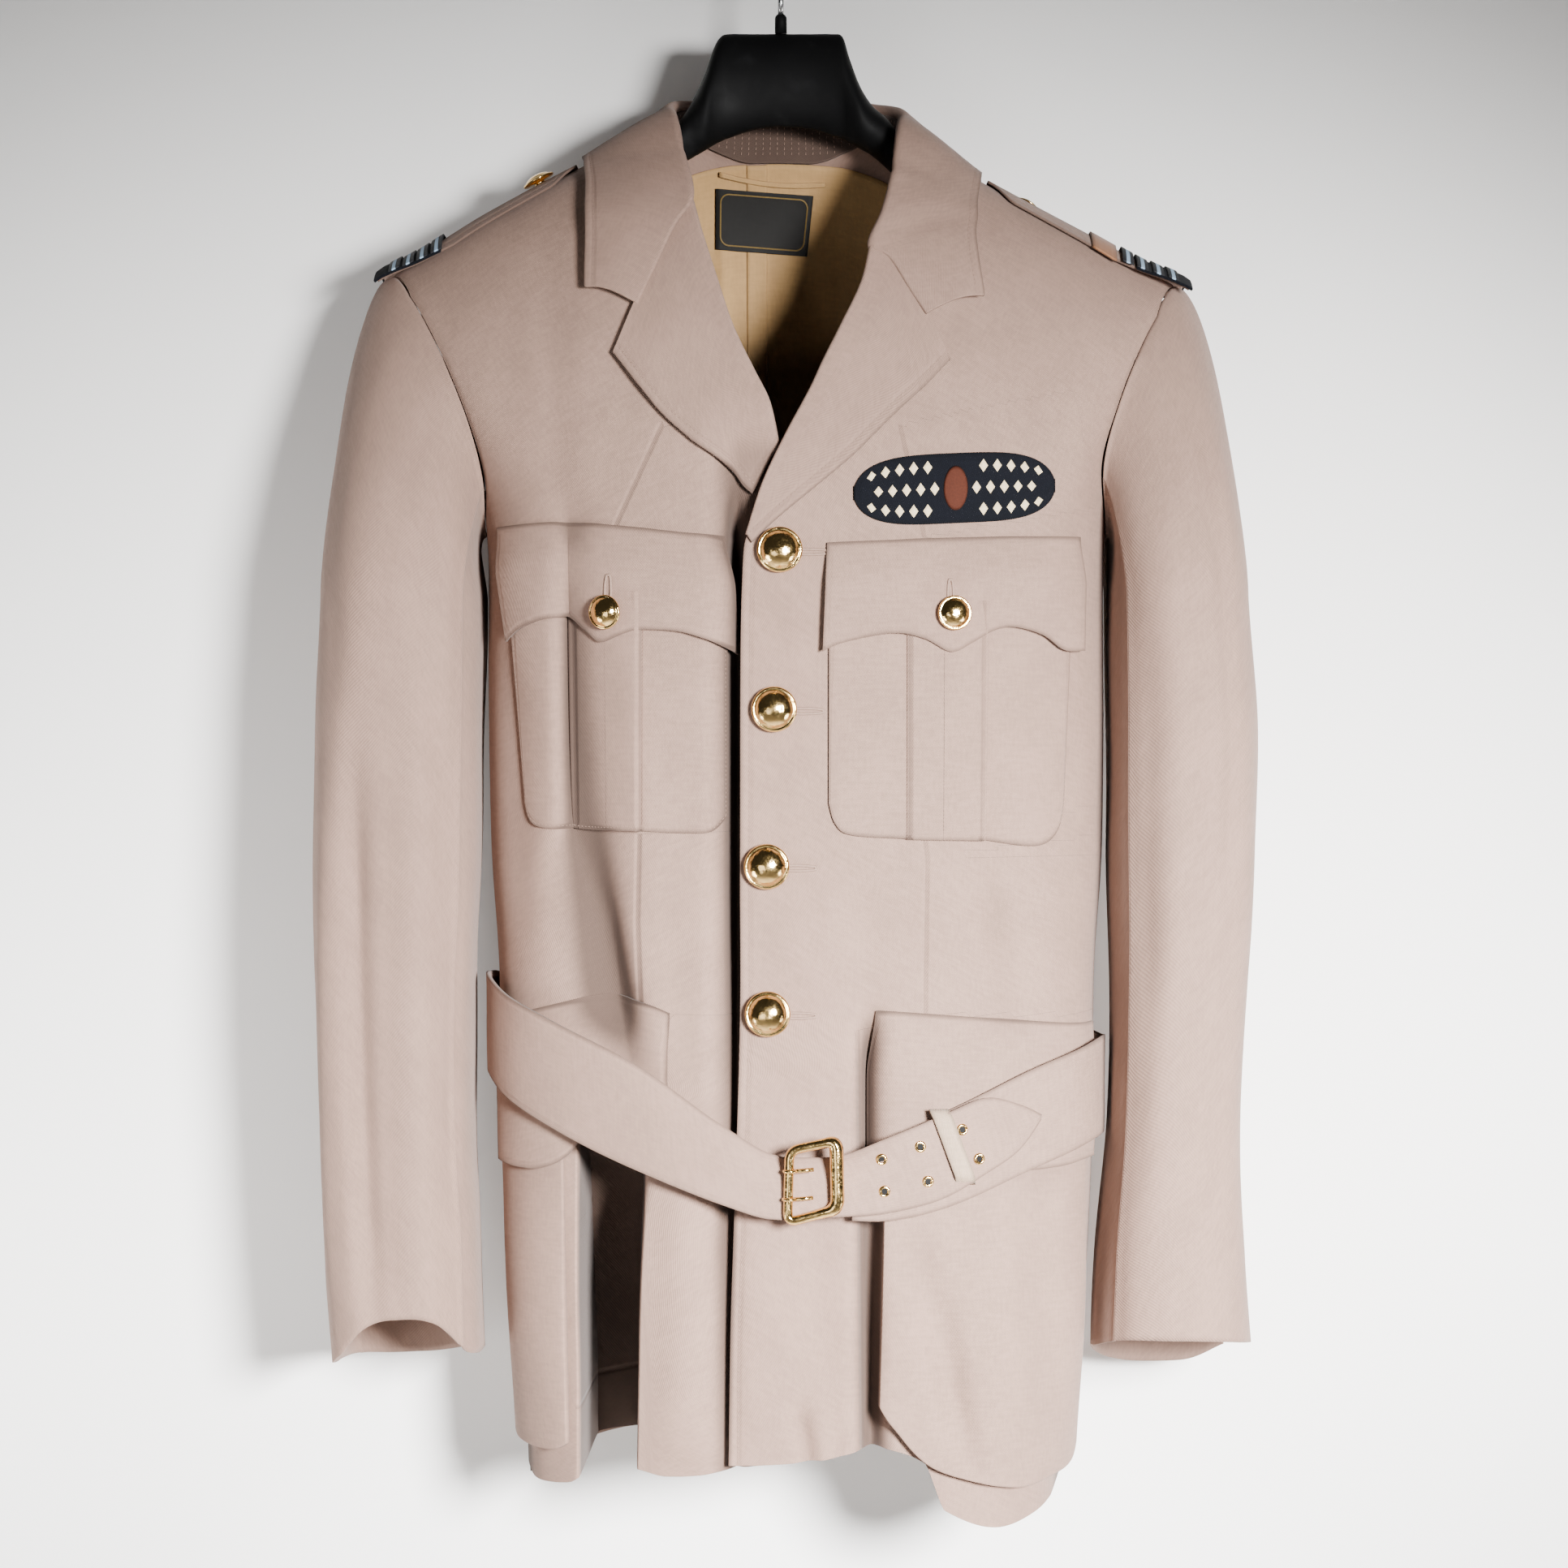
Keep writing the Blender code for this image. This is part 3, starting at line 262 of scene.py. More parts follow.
@functools.cache
def twill_group():
    """A steep twill: the height of its diagonal ribs and of its threads, and uneven yarn shades."""
    tree, n, given, out = group(
        "Twill",
        [("Vector", "NodeSocketVector", None), ("Ribs", "NodeSocketFloat", 1100.0),
         ("Slub", "NodeSocketFloat", 1.0)],
        [("Height", "NodeSocketFloat"), ("Shade", "NodeSocketFloat")],
    )
    place, ribs = given.outputs["Vector"], given.outputs["Ribs"]
    apart = n.add("ShaderNodeSeparateXYZ", Vector=place)
    slant = n.sum("MULTIPLY_ADD", apart.outputs["Y"], 0.45, apart.outputs["X"])
    rib = n.sum("SINE", n.sum("MULTIPLY", slant, n.sum("MULTIPLY", ribs, math.tau)))
    yarns = n.sum("SINE", n.sum("MULTIPLY", apart.outputs["Y"], n.sum("MULTIPLY", ribs, 11.0)))
    n.set(out, "Height", n.sum("MULTIPLY_ADD", yarns, 0.3, rib))
    warp = n.noise(620.0, 3.0, place, (1.0, 0.28, 1.0))
    weft = n.noise(480.0, 2.0, place, (0.22, 1.0, 1.0))
    both = n.sum("ADD", n.sum("ADD", warp, weft), n.noise(26.0, 4.0, place))
    n.set(out, "Shade", n.sum("MULTIPLY", n.sum("SUBTRACT", both, 1.5), given.outputs["Slub"]))
    return tree


@functools.cache
def sewn_group():
    """Masks of a stitched edge and of a dart: the groove they pull, and the puffed strip outside it."""
    tree, n, given, out = group(
        "Sewn edges",
        [("Edge", "NodeSocketFloat", 99.0), ("Dart", "NodeSocketFloat", 99.0),
         ("Inset", "NodeSocketFloat", 5.0)],
        [("Groove", "NodeSocketFloat"), ("Height", "NodeSocketFloat"), ("Rim", "NodeSocketFloat")],
    )
    edge, dart = given.outputs["Edge"], given.outputs["Dart"]
    off = n.sum("ABSOLUTE", n.sum("SUBTRACT", edge, given.outputs["Inset"]))
    dart = n.sum("ABSOLUTE", dart)
    groove = n.sum("MULTIPLY", n.ramp(off, 0.3, 1.1, 1.0, 0.0), 0.25)
    n.set(out, "Groove", n.sum("MAXIMUM", groove, n.ramp(dart, 0.15, 0.9, 1.0, 0.0)))
    wide = n.sum("MULTIPLY", n.ramp(off, 0.4, 2.6, 1.0, 0.0), 0.4)
    n.set(out, "Height", n.sum("MULTIPLY", n.sum("MAXIMUM", wide, n.ramp(dart, 0.3, 2.4, 1.0, 0.0)), -1.0))
    n.set(out, "Rim", n.ramp(edge, 0.4, 1.4, 1.0, 0.0))
    return tree


def material(name, **values):
    """A material with a Principled shader set to the named values."""
    made = bpy.data.materials.new(name)
    made.use_nodes = True
    n = Nodes(made.node_tree)
    surface = made.node_tree.nodes["Principled BSDF"]
    for key, value in values.items():
        n.set(surface, key.replace("_", " "), (*value, 1) if isinstance(value, tuple) else value)
    return made, n, surface


def colour_of(colour):
    """A colour itself, or the colour that the panel's setting of that name has."""
    return tuple(getattr(bpy.context.scene.jacket_looks, colour)) if isinstance(colour, str) else colour


def shade(colour, share):
    return tuple(min(channel * share, 1.0) for channel in colour)


# The woven cloths: how many ribs a metre, how uneven the yarn, how rough, how strong the ribs' relief and
# the sheen, and how far in the cloth's edges are stitched
Weaving = namedtuple("Weaving", "title colour ribs slub rough relief sheen inset")
WEAVINGS = {
    "stone": Weaving("Stone gabardine", "cloth", 1100.0, 1.0, 0.82, 0.35, 0.08, 5.0),
    "lining": Weaving("Tan lining twill", "lining", 1400.0, 0.7, 0.5, 0.3, 0.1, 2.0),
    "copper": Weaving("Copper ribbon", COPPER, 1500.0, 0.6, 0.55, 0.3, 0.1, 1.5),
    "cream": Weaving("Cream loop cloth", LOOP_CREAM, 1100.0, 0.9, 0.8, 0.4, 0.08, 1.5),
    "label": Weaving("Black label satin", LABEL_BLACK, 2200.0, 0.6, 0.42, 0.25, 0.05, 99.0),
    "navy": Weaving("Navy felt", NAVY, 900.0, 1.3, 0.95, 0.5, 0.02, 2.4),
}


@functools.cache
def woven(name):
    """A woven cloth: a twill with uneven yarn, darker in deep folds, its sewn edges drawn by its marks."""
    w = WEAVINGS[name]
    colour = colour_of(w.colour)
    made, n, surface = material(w.title, Roughness=w.rough, Sheen_Weight=w.sheen, Sheen_Roughness=0.45)
    surface.inputs["Specular IOR Level"].default_value = CLOTH_SPECULAR
    place = n.add("ShaderNodeUVMap", {"uv_map": "Cloth"}).outputs["UV"]
    twill = n.add("ShaderNodeGroup", {"node_tree": twill_group()}, Vector=place, Ribs=w.ribs, Slub=w.slub)
    sewn = n.add("ShaderNodeGroup", {"node_tree": sewn_group()}, Edge=n.mark("edge_mm"),
                 Dart=n.mark("dart_mm"), Inset=w.inset)
    light = shade(colour, 1.22)
    yarn = n.mix(n.ramp(twill.outputs["Shade"], -0.45, 0.45), shade(colour, 0.74), light)
    plain_yarn = n.mix(0.55, yarn, colour)
    # Painted shade along the grooves that stitched edges, darts and pleats pull
    shaded = n.mix(n.sum("MULTIPLY", sewn.outputs["Groove"], 0.42), plain_yarn, shade(colour, 0.45))
    rimmed = n.mix(n.sum("MULTIPLY", sewn.outputs["Rim"], 0.16), shaded, light)
    # Painted shade: the colour darkens towards a fifth of itself as the painted shade measure grows
    deep = n.ramp(n.mark("hollow_mm"), 1.0, 11.0, 0.0, 0.85)
    n.set(surface, "Base Color", n.mix(deep, rimmed, shade(colour, 0.2)))
    fine = n.bump(twill.outputs["Height"], w.relief, 0.00025)
    n.set(surface, "Normal", n.bump(sewn.outputs["Height"], 0.8, 0.0009, Normal=fine))
    return made


THREADS = {
    "stone": ("Stone thread", "thread", 0.6),
    "cream": ("Cream embroidery", CREAM, 0.5),
    "rust": ("Rust embroidery", RUST, 0.8),
    "gold": ("Gold thread", GOLD_THREAD, 0.4),
}


@functools.cache
def thread(name):
    """Twisted thread: a fine ripple over a plain dyed colour."""
    title, colour, rough = THREADS[name]
    colour = colour_of(colour)
    made, n, surface = material(title, Roughness=rough)
    surface.inputs["Specular IOR Level"].default_value = CLOTH_SPECULAR
    twist = n.noise(900.0, 2.0)
    n.set(surface, "Base Color", n.mix(twist, shade(colour, 0.75), shade(colour, 1.25)))
    n.set(surface, "Normal", n.bump(twist, 0.5, 0.0003))
    return made


@functools.cache
def gilt_metal():
    """Polished gilt brass, with faint tarnish in its hollows and fine handling marks."""
    made, n, surface = material("Gilt brass", Metallic=1.0)
    tarnish = n.noise(180.0, 5.0)
    marks = n.noise(1500.0, 2.0)
    gilt = colour_of("gilt")
    n.set(surface, "Base Color", n.mix(n.ramp(tarnish, 0.35, 0.8), gilt, shade(gilt, 0.72)))
    n.set(surface, "Roughness", n.ramp(n.sum("ADD", tarnish, marks), 0.7, 1.4, 0.07, 0.24))
    n.set(surface, "Normal", n.bump(tarnish, 0.55, 0.0009))
    return made


@functools.cache
def hanger_plastic():
    """Moulded black plastic: satin, with light scuffs and a little dust."""
    made, n, surface = material("Black plastic", Base_Color=BLACK)
    surface.inputs["Specular IOR Level"].default_value = 0.08
    scuff = n.noise(55.0, 6.0)
    n.set(surface, "Base Color", n.mix(n.ramp(scuff, 0.55, 0.8), BLACK, SCUFFED))
    n.set(surface, "Roughness", n.ramp(scuff, 0.3, 0.75, 0.5, 0.66))
    n.set(surface, "Normal", n.bump(n.noise(1800.0, 1.0), 0.12, 0.0002))
    return made


@functools.cache
def hook_steel():
    """Drawn and polished wire."""
    made, n, surface = material("Polished wire", Metallic=1.0)
    drawn = n.noise(700.0, 3.0)
    n.set(surface, "Base Color", n.mix(drawn, STEEL, shade(STEEL, 0.8)))
    n.set(surface, "Roughness", n.ramp(drawn, 0.3, 0.7, 0.2, 0.32))
    return made


@functools.cache
def rank_braid():
    """A dark ribbon with a pale blue line along its middle, by the ribbon's own UVs."""
    made, n, surface = material("Rank braid", Roughness=0.7)
    place = n.add("ShaderNodeUVMap", {"uv_map": "Cloth"}).outputs["UV"]
    across = n.add("ShaderNodeSeparateXYZ", Vector=place).outputs["X"]
    line = n.ramp(n.sum("ABSOLUTE", across), 0.0009, 0.0013, 1.0, 0.0)
    n.set(surface, "Base Color", n.mix(line, NAVY, PALE_BLUE))
    ribs = n.add("ShaderNodeTexWave", {"bands_direction": "Y"}, Vector=place, Scale=420.0).outputs["Fac"]
    n.set(surface, "Normal", n.bump(ribs, 0.4, 0.0003))
    return made


def paint(name, colour, rough):
    """Rolled wall paint."""
    made, n, surface = material(name, Roughness=rough)
    rolled = n.sum("MULTIPLY", n.noise(300.0, 2.0), 0.06)
    n.set(surface, "Base Color", n.mix(rolled, colour, shade(colour, 0.8)))
    return made


def table(kind, *rows):
    """A table of rows with named columns."""
    return [kind(*row) for row in rows]


# The body in plan at each height: its two side seams, and its depth in front and behind
Body = namedtuple("Body", "z left right front back")
BODY = table(
    Body,
    (-100, -272, 278, 66, 56), (-215, -266, 272, 74, 60), (-275, -222, 229, 82, 64),
    (-312, -191, 203, 86, 66), (-345, -170, 186, 88, 66), (-375, -165, 182, 89, 65),
    (-475, -165, 182, 88, 61), (-545, -163, 181, 85, 57), (-605, -159, 177, 84, 54),
    (-660, -158, 176, 86, 54), (-722, -157, 175, 89, 56), (-780, -154, 172, 92, 58),
    (-845, -149, 168, 95, 60), (-920, -146, 162, 97, 62),
)

# The shoulder line, over which the front turns into the back
Ridge = namedtuple("Ridge", "x z")
RIDGE = table(
    Ridge,
    (-250, -234), (-222, -217), (-167, -184), (-111, -154), (-64, -127), (-30, -116), (35, -117),
    (70, -131), (113, -163), (169, -193), (225, -222), (252, -237),
)


def clamp(value, low, high):
    return max(low, min(high, value))


def lerp(a, b, t):
    return a + (b - a) * t


def ease(value, start, end):
    """0 before start and 1 after end, with a soft ramp between; start may be above end."""
    t = clamp((value - start) / (end - start), 0, 1)
    return t * t * (3 - 2 * t)


def bump(value, centre, half):
    """1 at the centre, falling softly to 0 a little past half on both sides."""
    return math.exp(-(((value - centre) / half) ** 2))


def smooth_row(rows, key):
    """The row of a table at a fractional row number, on a smooth curve through its rows."""
    i = int(clamp(math.floor(key), 0, len(rows) - 2))
    t = clamp(key - i, 0, 1)
    before, a, b, after = (rows[clamp(j, 0, len(rows) - 1)] for j in (i - 1, i, i + 1, i + 2))
    values = []
    blend = t * t * (3 - 2 * t)
    leaving = t * (1 - t) ** 2
    arriving = t * t * (t - 1)
    for p, q, r, s in zip(before, a, b, after):
        values.append(lerp(q, r, blend) + leaving * (r - p) / 2 + arriving * (s - q) / 2)
    return type(a)(*values)


def at_key(rows, value):
    """The row of a table where its first column, which rises or falls, reaches a value."""
    rising = rows[-1][0] > rows[0][0]
    for i in range(len(rows) - 1):
        low, high = rows[i][0], rows[i + 1][0]
        if (value <= high) if rising else (value >= high):
            return smooth_row(rows, i + clamp((value - low) / (high - low), 0, 1))
    return rows[-1]


@functools.lru_cache(maxsize=200000)
def ridge(x):
    return at_key(RIDGE, x).z


@functools.lru_cache(maxsize=200000)
def body_at(z):
    return at_key(BODY, z)


def side_angle(x, z):
    """The angle around the body, from -90 degrees at one side seam to 90 at the other."""
    body = body_at(z)
    t = clamp((x - (body.left + body.right) / 2) / ((body.right - body.left) / 2), -1, 1)
    return math.asin(math.copysign(abs(t) ** (ROUND / 2), t))


# The deep inverted fold in the right front's skirt: its two walls and its floor, down its length
Recess = namedtuple("Recess", "z outer inner floor open")
RECESS = table(
    Recess,
    (-660, -112, -73, -66, 0.0), (-688, -112, -73, -46, 0.8), (-716, -112, -72, -20, 1.0),
    (-780, -112, -75, 12, 1.0), (-830, -111, -76, 26, 1.0), (-900, -111, -77, 34, 1.0),
)

# The deep fold that runs down the right chest, through the pocket, to the belt: it falls away slowly on one
# side and steeply on the other
Fold = namedtuple("Fold", "z x deep left right")
CHEST_FOLD = table(
    Fold,
    (-340, -115, 0.0, 8, 12), (-372, -115, 6.0, 6, 12), (-412, -116.5, 10.5, 5, 17),
    (-470, -116.5, 13.0, 5, 21), (-522, -113.5, 14.0, 7, 22), (-546, -106, 15.0, 16, 16),
    (-580, -95.5, 17.0, 22, 9), (-625, -88, 16.0, 22, 10), (-658, -81, 7.0, 22, 12),
    (-690, -78, 0.0, 20, 14),
)


def trough(x, z, centre, half, deep, start, full):
    """How deep a groove down the cloth is: it begins at one height and has its full depth at another."""
    return deep * bump(x, centre, half) * ease(z, start, full)


def right_chest_folds(x, y, z):
    """The right front's dip and groove under the placket, and its chest fold."""
    y += PLACKET_DIP * ease(x, -44, -22) * ease(z, -296, -328)
    waist = ease(z, -560, -700)
    y += trough(x, z, centre=-24, half=lerp(4.5, 3, waist), deep=lerp(15, 5, waist), start=-338, full=-376)
    fold = at_key(CHEST_FOLD, z)
    if fold.deep > 0:
        y += fold.deep * bump(x, fold.x, fold.left if x < fold.x else fold.right)
    return y


def right_front_folds(x, y, z):
    """The right front's chest folds, and the recess in its skirt."""
    y = right_chest_folds(x, y, z)
    if z < RECESS[0].z:
        recess = at_key(RECESS, z)
        inside = ease(x, recess.outer, recess.outer + 5) * ease(x, recess.inner, recess.inner - 5)
        y = lerp(y, max(y, recess.floor), inside * recess.open)
    return y


def left_front_folds(x, y, z):
    """The groove beside the left hip pocket, and the skirt's slight swing forward below it."""
    return left_swing(x, y, z) + trough(x, z, centre=49, half=7, deep=16, start=-615, full=-660)


def left_swing(x, y, z):
    """The left front's slight swing forward under the hip pocket."""
    return y + trough(x, z, centre=120, half=40, deep=-7, start=-730, full=-880)


def plain(x, y, z):
    return y


def skin(angle, z, face, folds=plain):
    """A point of the body's surface in millimetres, from its angle around the body and its height."""
    body = body_at(z)
    s, c = math.sin(angle), abs(math.cos(angle))
    reach = (body.right - body.left) / 2
    x = (body.left + body.right) / 2 + reach * math.copysign(abs(s) ** (2 / ROUND), s)
    depth = body.front if face == FRONT else body.back
    fall = clamp((ridge(x) - z) / DROP, 0, 1)
    y = face * depth * c ** (2 / ROUND) * math.sqrt(1 - (1 - fall) ** 2)
    return Vector((x, folds(x, y, z), z))


def on_body(x, z, lift=0.0, face=FRONT, folds=plain):
    """The surface's point at a place seen from the front, lifted along its outward normal."""
    angle = side_angle(x, z)
    point = skin(angle, z, face, folds)
    if not lift:
        return point
    step = 0.02
    low = max(angle - step, -math.pi / 2)
    high = min(angle + step, math.pi / 2)
    across = skin(high, z, face, folds) - skin(low, z, face, folds)
    along = skin(angle, z + 1, face, folds) - skin(angle, z - 1, face, folds)
    normal = across.cross(along).normalized()
    if face == BACK:
        normal = -normal
    return point + normal * lift


def around(turn, z, lift):
    """A place on the plain body at a turn in degrees from its front centre, lifted outwards."""
    turn = (turn + 180) % 360 - 180
    face = FRONT if abs(turn) <= 90 else BACK
    angle = math.radians(turn if face == FRONT else math.copysign(180, turn) - turn)
    point = skin(angle, z, face)
    step = 0.03
    across = skin(min(angle + step, math.pi / 2), z, face) - skin(max(angle - step, -math.pi / 2), z, face)
    normal = Vector((across.y, -across.x, 0)).normalized()
    if face == BACK:
        normal = -normal
    return point + normal * lift


def over_shoulder(x, across, lift):
    """A place on the shoulder, before or behind the shoulder line; a stiff strap sags little there."""
    def surface(place, distance):
        body = body_at(ridge(place))
        depth = body.front if distance >= 0 else body.back
        reach = depth * abs(math.cos(side_angle(place, ridge(place)))) ** (2 / ROUND)
        fall = DROP * (1 - math.cos(min(abs(distance) / reach, 1.5)))
        sag = lerp(13, 7, ease(abs(place), 150, 215)) * (distance / 22) ** 2
        return Vector((place, -distance, ridge(place) - min(fall, sag)))
    along = surface(x + 1, across) - surface(x - 1, across)
    sideways = surface(x, across - 1) - surface(x, across + 1)
    return surface(x, across) + along.cross(sideways).normalized() * lift


def clear_of_body(point, lift):
    """Moves a point out of the plain body to a lift above it: up near the shoulder line, else forward."""
    face = FRONT if point.y < 0 else BACK
    body = body_at(ridge(point.x))
    depth = body.front if face == FRONT else body.back
    reach = depth * abs(math.cos(side_angle(point.x, ridge(point.x)))) ** (2 / ROUND)
    share = min(abs(point.y) / reach, 0.99)
    if share < 0.7:
        slope = math.sqrt(1 - share * share)
        top = ridge(point.x) - DROP * (1 - slope) + lift * 1.1 / slope
        return Vector((point.x, point.y, max(point.z, top)))
    surface = on_body(point.x, point.z, lift, face)
    y = min(point.y, surface.y) if face == FRONT else max(point.y, surface.y)
    return Vector((point.x, y, point.z))


# Fronts and backs: each row runs from the piece's inner edge to its armhole or side seam
Panel = namedtuple("Panel", "inner_x inner_z outer_x outer_z")
LEFT_FRONT = table(
    Panel,
    (78, -136, 225, -222), (72, -166, 210, -243), (62, -202, 198, -266), (36, -256, 187, -294),
    (11, -305, 178, -327), (-15, -361, 182, -362), (-21, -400, 182, -400), (-22, -545, 181, -545),
    (-22, -629, 177, -605), (-25, -739, 175, -735), (-27, -800, 171, -810), (-28, -872, 163, -900),
)
RIGHT_FRONT = table(
    Panel,
    (-76, -136, -222, -217), (-68, -163, -207, -232), (-55, -196, -190, -262), (-28, -256, -174, -300),
    (-8, -299, -165, -333), (6, -340, -166, -362), (18, -380, -165, -400), (18, -545, -163, -545),
    (18, -629, -159, -629), (17, -715, -157, -715), (17, -790, -153, -790), (16, -872, -147, -886),
)
BACK_HALF = table(
    Panel,
    (0, -116, 222, -220), (0, -142, 209, -238), (0, -180, 195, -264), (0, -245, 181, -297),
    (0, -305, 173, -330), (0, -361, 174, -362), (0, -545, 172, -545), (0, -735, 166, -735),
    (0, -880, 155, -900),
)
Hem = namedtuple("Hem", "x z")
LEFT_HEM = table(
    Hem,
    (-28, -872), (22, -869), (54, -863), (78, -871), (88, -896), (118, -907), (152, -897), (165, -886),
)
RIGHT_HEM = table(
    Hem,
    (-150, -884), (-138, -888), (-115, -886), (-104, -878), (-80, -875), (-60, -878), (16, -871),
)
BACK_HEM = table(Hem, (-160, -896), (-90, -880), (0, -878), (90, -880), (170, -896))


# Sleeves: each row is the tube at one height, and the cap is drawn from the armhole down to the first
Tube = namedtuple("Tube", "z outer inner front back")
RIGHT_SLEEVE = table(
    Tube,
    (-400, -256.5, -168.6, -84, 62), (-474, -259, -169, -86, 58), (-545, -260, -170, -86, 52),
    (-611, -259, -172.5, -84, 48), (-702, -257, -172.5, -80, 44), (-770, -254, -170, -77, 42),
    (-845, -249, -168, -74, 40),
)
LEFT_SLEEVE = table(
    Tube,
    (-400, 260.5, 185.4, -84, 62), (-474, 265, 185.4, -86, 58), (-545, 262.5, 185.6, -86, 52),
    (-611, 259, 186.5, -84, 48), (-702, 254.5, 184.5, -80, 44), (-770, 258, 179, -77, 42),
    (-845, 264, 175.5, -74, 40),
)
Cuff = namedtuple("Cuff", "turn z")
RIGHT_CUFF = table(
    Cuff,
    (-45, -832), (0, -829), (45, -818), (80, -799), (110, -798), (150, -818), (200, -824), (270, -834),
    (325, -832),
)
LEFT_CUFF = table(
    Cuff,
    (-45, -826), (0, -817), (45, -811), (90, -808), (135, -810), (180, -820), (235, -836), (280, -839),
    (325, -826),
)


# Soft troughs and ridges in the cloth, each on a line between two places; deep is inwards, and a ridge
# has a negative depth
Crease = namedtuple("Crease", "x0 z0 x1 z1 deep half")
FRONT_CREASES = table(
    Crease,
    (-126, -190, -118, -400, 2.5, 12), (-132, -380, -108, -630, -2.2, 12),
    (-88, -380, -66, -620, -1.5, 10), (-60, -560, -52, -690, 2.0, 12), (-150, -420, -140, -620, 2.2, 9),
    (-60, -205, -118, -345, 1.6, 20), (-150, -220, -140, -360, 1.5, 14),
    (-52, -680, -56, -900, -4.0, 13), (-30, -680, -27, -900, 3.5, 8), (112, -540, 128, -660, 4.0, 12),
    (82, -540, 92, -630, -1.8, 13), (150, -400, 152, -600, 1.6, 12), (40, -545, 52, -630, 1.5, 10),
    (120, -210, 148, -360, 2.2, 16), (84, -225, 104, -330, 1.6, 14), (160, -270, 166, -370, -1.5, 10),
    (66, -725, 102, -890, 4.5, 9), (84, -760, 106, -895, 3.0, 8), (140, -700, 150, -880, 2.4, 11),
    (118, -690, 124, -890, -2.6, 13), (8, -830, 24, -912, 5.0, 6), (34, -840, 25, -905, 2.5, 6),
    (20, -690, 26, -860, 1.6, 14), (6, -410, 14, -450, -1.2, 10), (4, -495, 12, -530, -1.2, 10),
    (0, -575, 10, -615, -1.2, 10),
)
BACK_CREASES = table(
    Crease,
    (-36, -345, -60, -560, 2.0, 18), (46, -340, 66, -580, 2.4, 20), (-120, -300, -96, -560, 2.4, 16),
    (128, -310, 110, -520, 2.0, 15), (-60, -560, -78, -870, 3.2, 16), (20, -600, 30, -870, 2.6, 15),
    (100, -560, 92, -860, 3.0, 17), (-130, -620, -126, -860, -2.4, 14), (60, -640, 62, -850, -2.2, 14),
    (3, -470, 3, -850, 1.5, 5),
)
# The same on the sleeves, with turns around the arm in degrees instead of places across
SLEEVE_CREASES = {
    "right": table(
        Crease,
        (74, -440, 82, -860, 7.5, 10), (104, -400, 112, -850, -4.0, 14), (50, -480, 38, -840, -3.0, 12),
        (100, -330, 122, -520, 2.2, 12), (30, -300, 60, -480, 2.0, 14), (142, -560, 136, -760, 2.0, 9),
        (215, -420, 240, -760, 3.0, 18), (290, -380, 270, -700, 2.5, 18), (15, -600, 10, -790, 1.8, 12),
    ),
    "left": table(
        Crease,
        (72, -240, 66, -640, 3.0, 8), (92, -280, 98, -700, -1.8, 15), (120, -380, 126, -800, 2.0, 12),
        (60, -560, 74, -800, 1.8, 12), (40, -420, 30, -780, -1.6, 13), (220, -400, 238, -740, 3.0, 18),
        (285, -360, 272, -720, 2.6, 18),
    ),
}


# Collar: each station has the fold at the neck and the collar's outer edge, from the right notch
# around the neck to the left notch
Collar = namedtuple("Collar", "fold_x fold_y fold_z edge_x edge_y edge_z")
COLLAR = table(
    Collar,
    (-79, -78, -242.5, -107, -72, -233), (-67.5, -74, -217, -107, -66, -212),
    (-57.5, -70, -196, -107.5, -57, -190), (-50, -64, -182, -108.5, -41, -170),
    (-55, -50, -159, -111, -16, -153), (-62, -20, -132, -112, 6, -150), (-65, 12, -116, -105, 30, -158),
    (-50, 37, -110, -76, 51, -163), (-22, 46, -108, -32, 59, -164), (3, 48, -108, 3, 61, -164),
    (28, 46, -108, 38, 59, -165), (56, 37, -112, 82, 51, -167), (71, 12, -120, 111, 30, -166),
    (69.5, -20, -138, 114, 8, -159), (64, -49, -166, 113, -17, -163), (58, -65, -190, 109, -42, -182),
    (50.5, -71, -209, 108.3, -51, -193), (60, -73, -216, 107.5, -59, -204),
    (70, -77, -232, 109, -68, -221), (80, -80, -248, 111, -74, -238),
)
Stand = namedtuple("Stand", "seam_x top_x top_y top_z")
STAND = table(
    Stand,
    (-66, -62, -1, -126), (-60, -62, 13, -120), (-48, -48, 33, -114), (-23, -22, 42, -112),
    (3, 3, 44, -112), (29, 28, 42, -112), (54, 53, 33, -116), (65, 67, 13, -124), (71, 67, -1, -130),
)


# Lapels: rows from the gorge seam to the foot, from the roll edge to the outer edge
Lapel = namedtuple("Lapel", "roll_x roll_z edge_x edge_z lift")
Bow = namedtuple("Bow", "share rise")
RIGHT_GORGE = table(Bow, (0, 0), (0.2, 7.0), (0.45, 6.4), (0.72, 4.3), (1, 0))
LEFT_GORGE = table(Bow, (0, 0), (0.24, 10.2), (0.48, 9.6), (0.72, 8.7), (1, 0))
RIGHT_LAPEL = table(
    Lapel,
    (-49, -186, -90.5, -270.5, 5.0), (-44, -204, -77, -288, 5.0), (-36, -229, -64, -304, 4.0),
    (-27, -256, -51, -316, 3.5), (-16, -280, -39, -326, 4.0), (-7, -299, -27, -336, 4.6),
    (-2, -321, -15, -347, 4.8),
)
LEFT_LAPEL = table(
    Lapel,
    (50, -211, 91.5, -274.5, 4.6), (45, -232, 79, -288, 4.0), (34, -256, 65, -301, 4.0),
    (25, -274, 52, -314, 4.0), (17, -291, 39, -327, 3.5), (4, -315, 20, -343, 3.0),
    (-9, -342, -3, -362, 2.5), (-18, -370, -15.5, -374, 2.2),
)


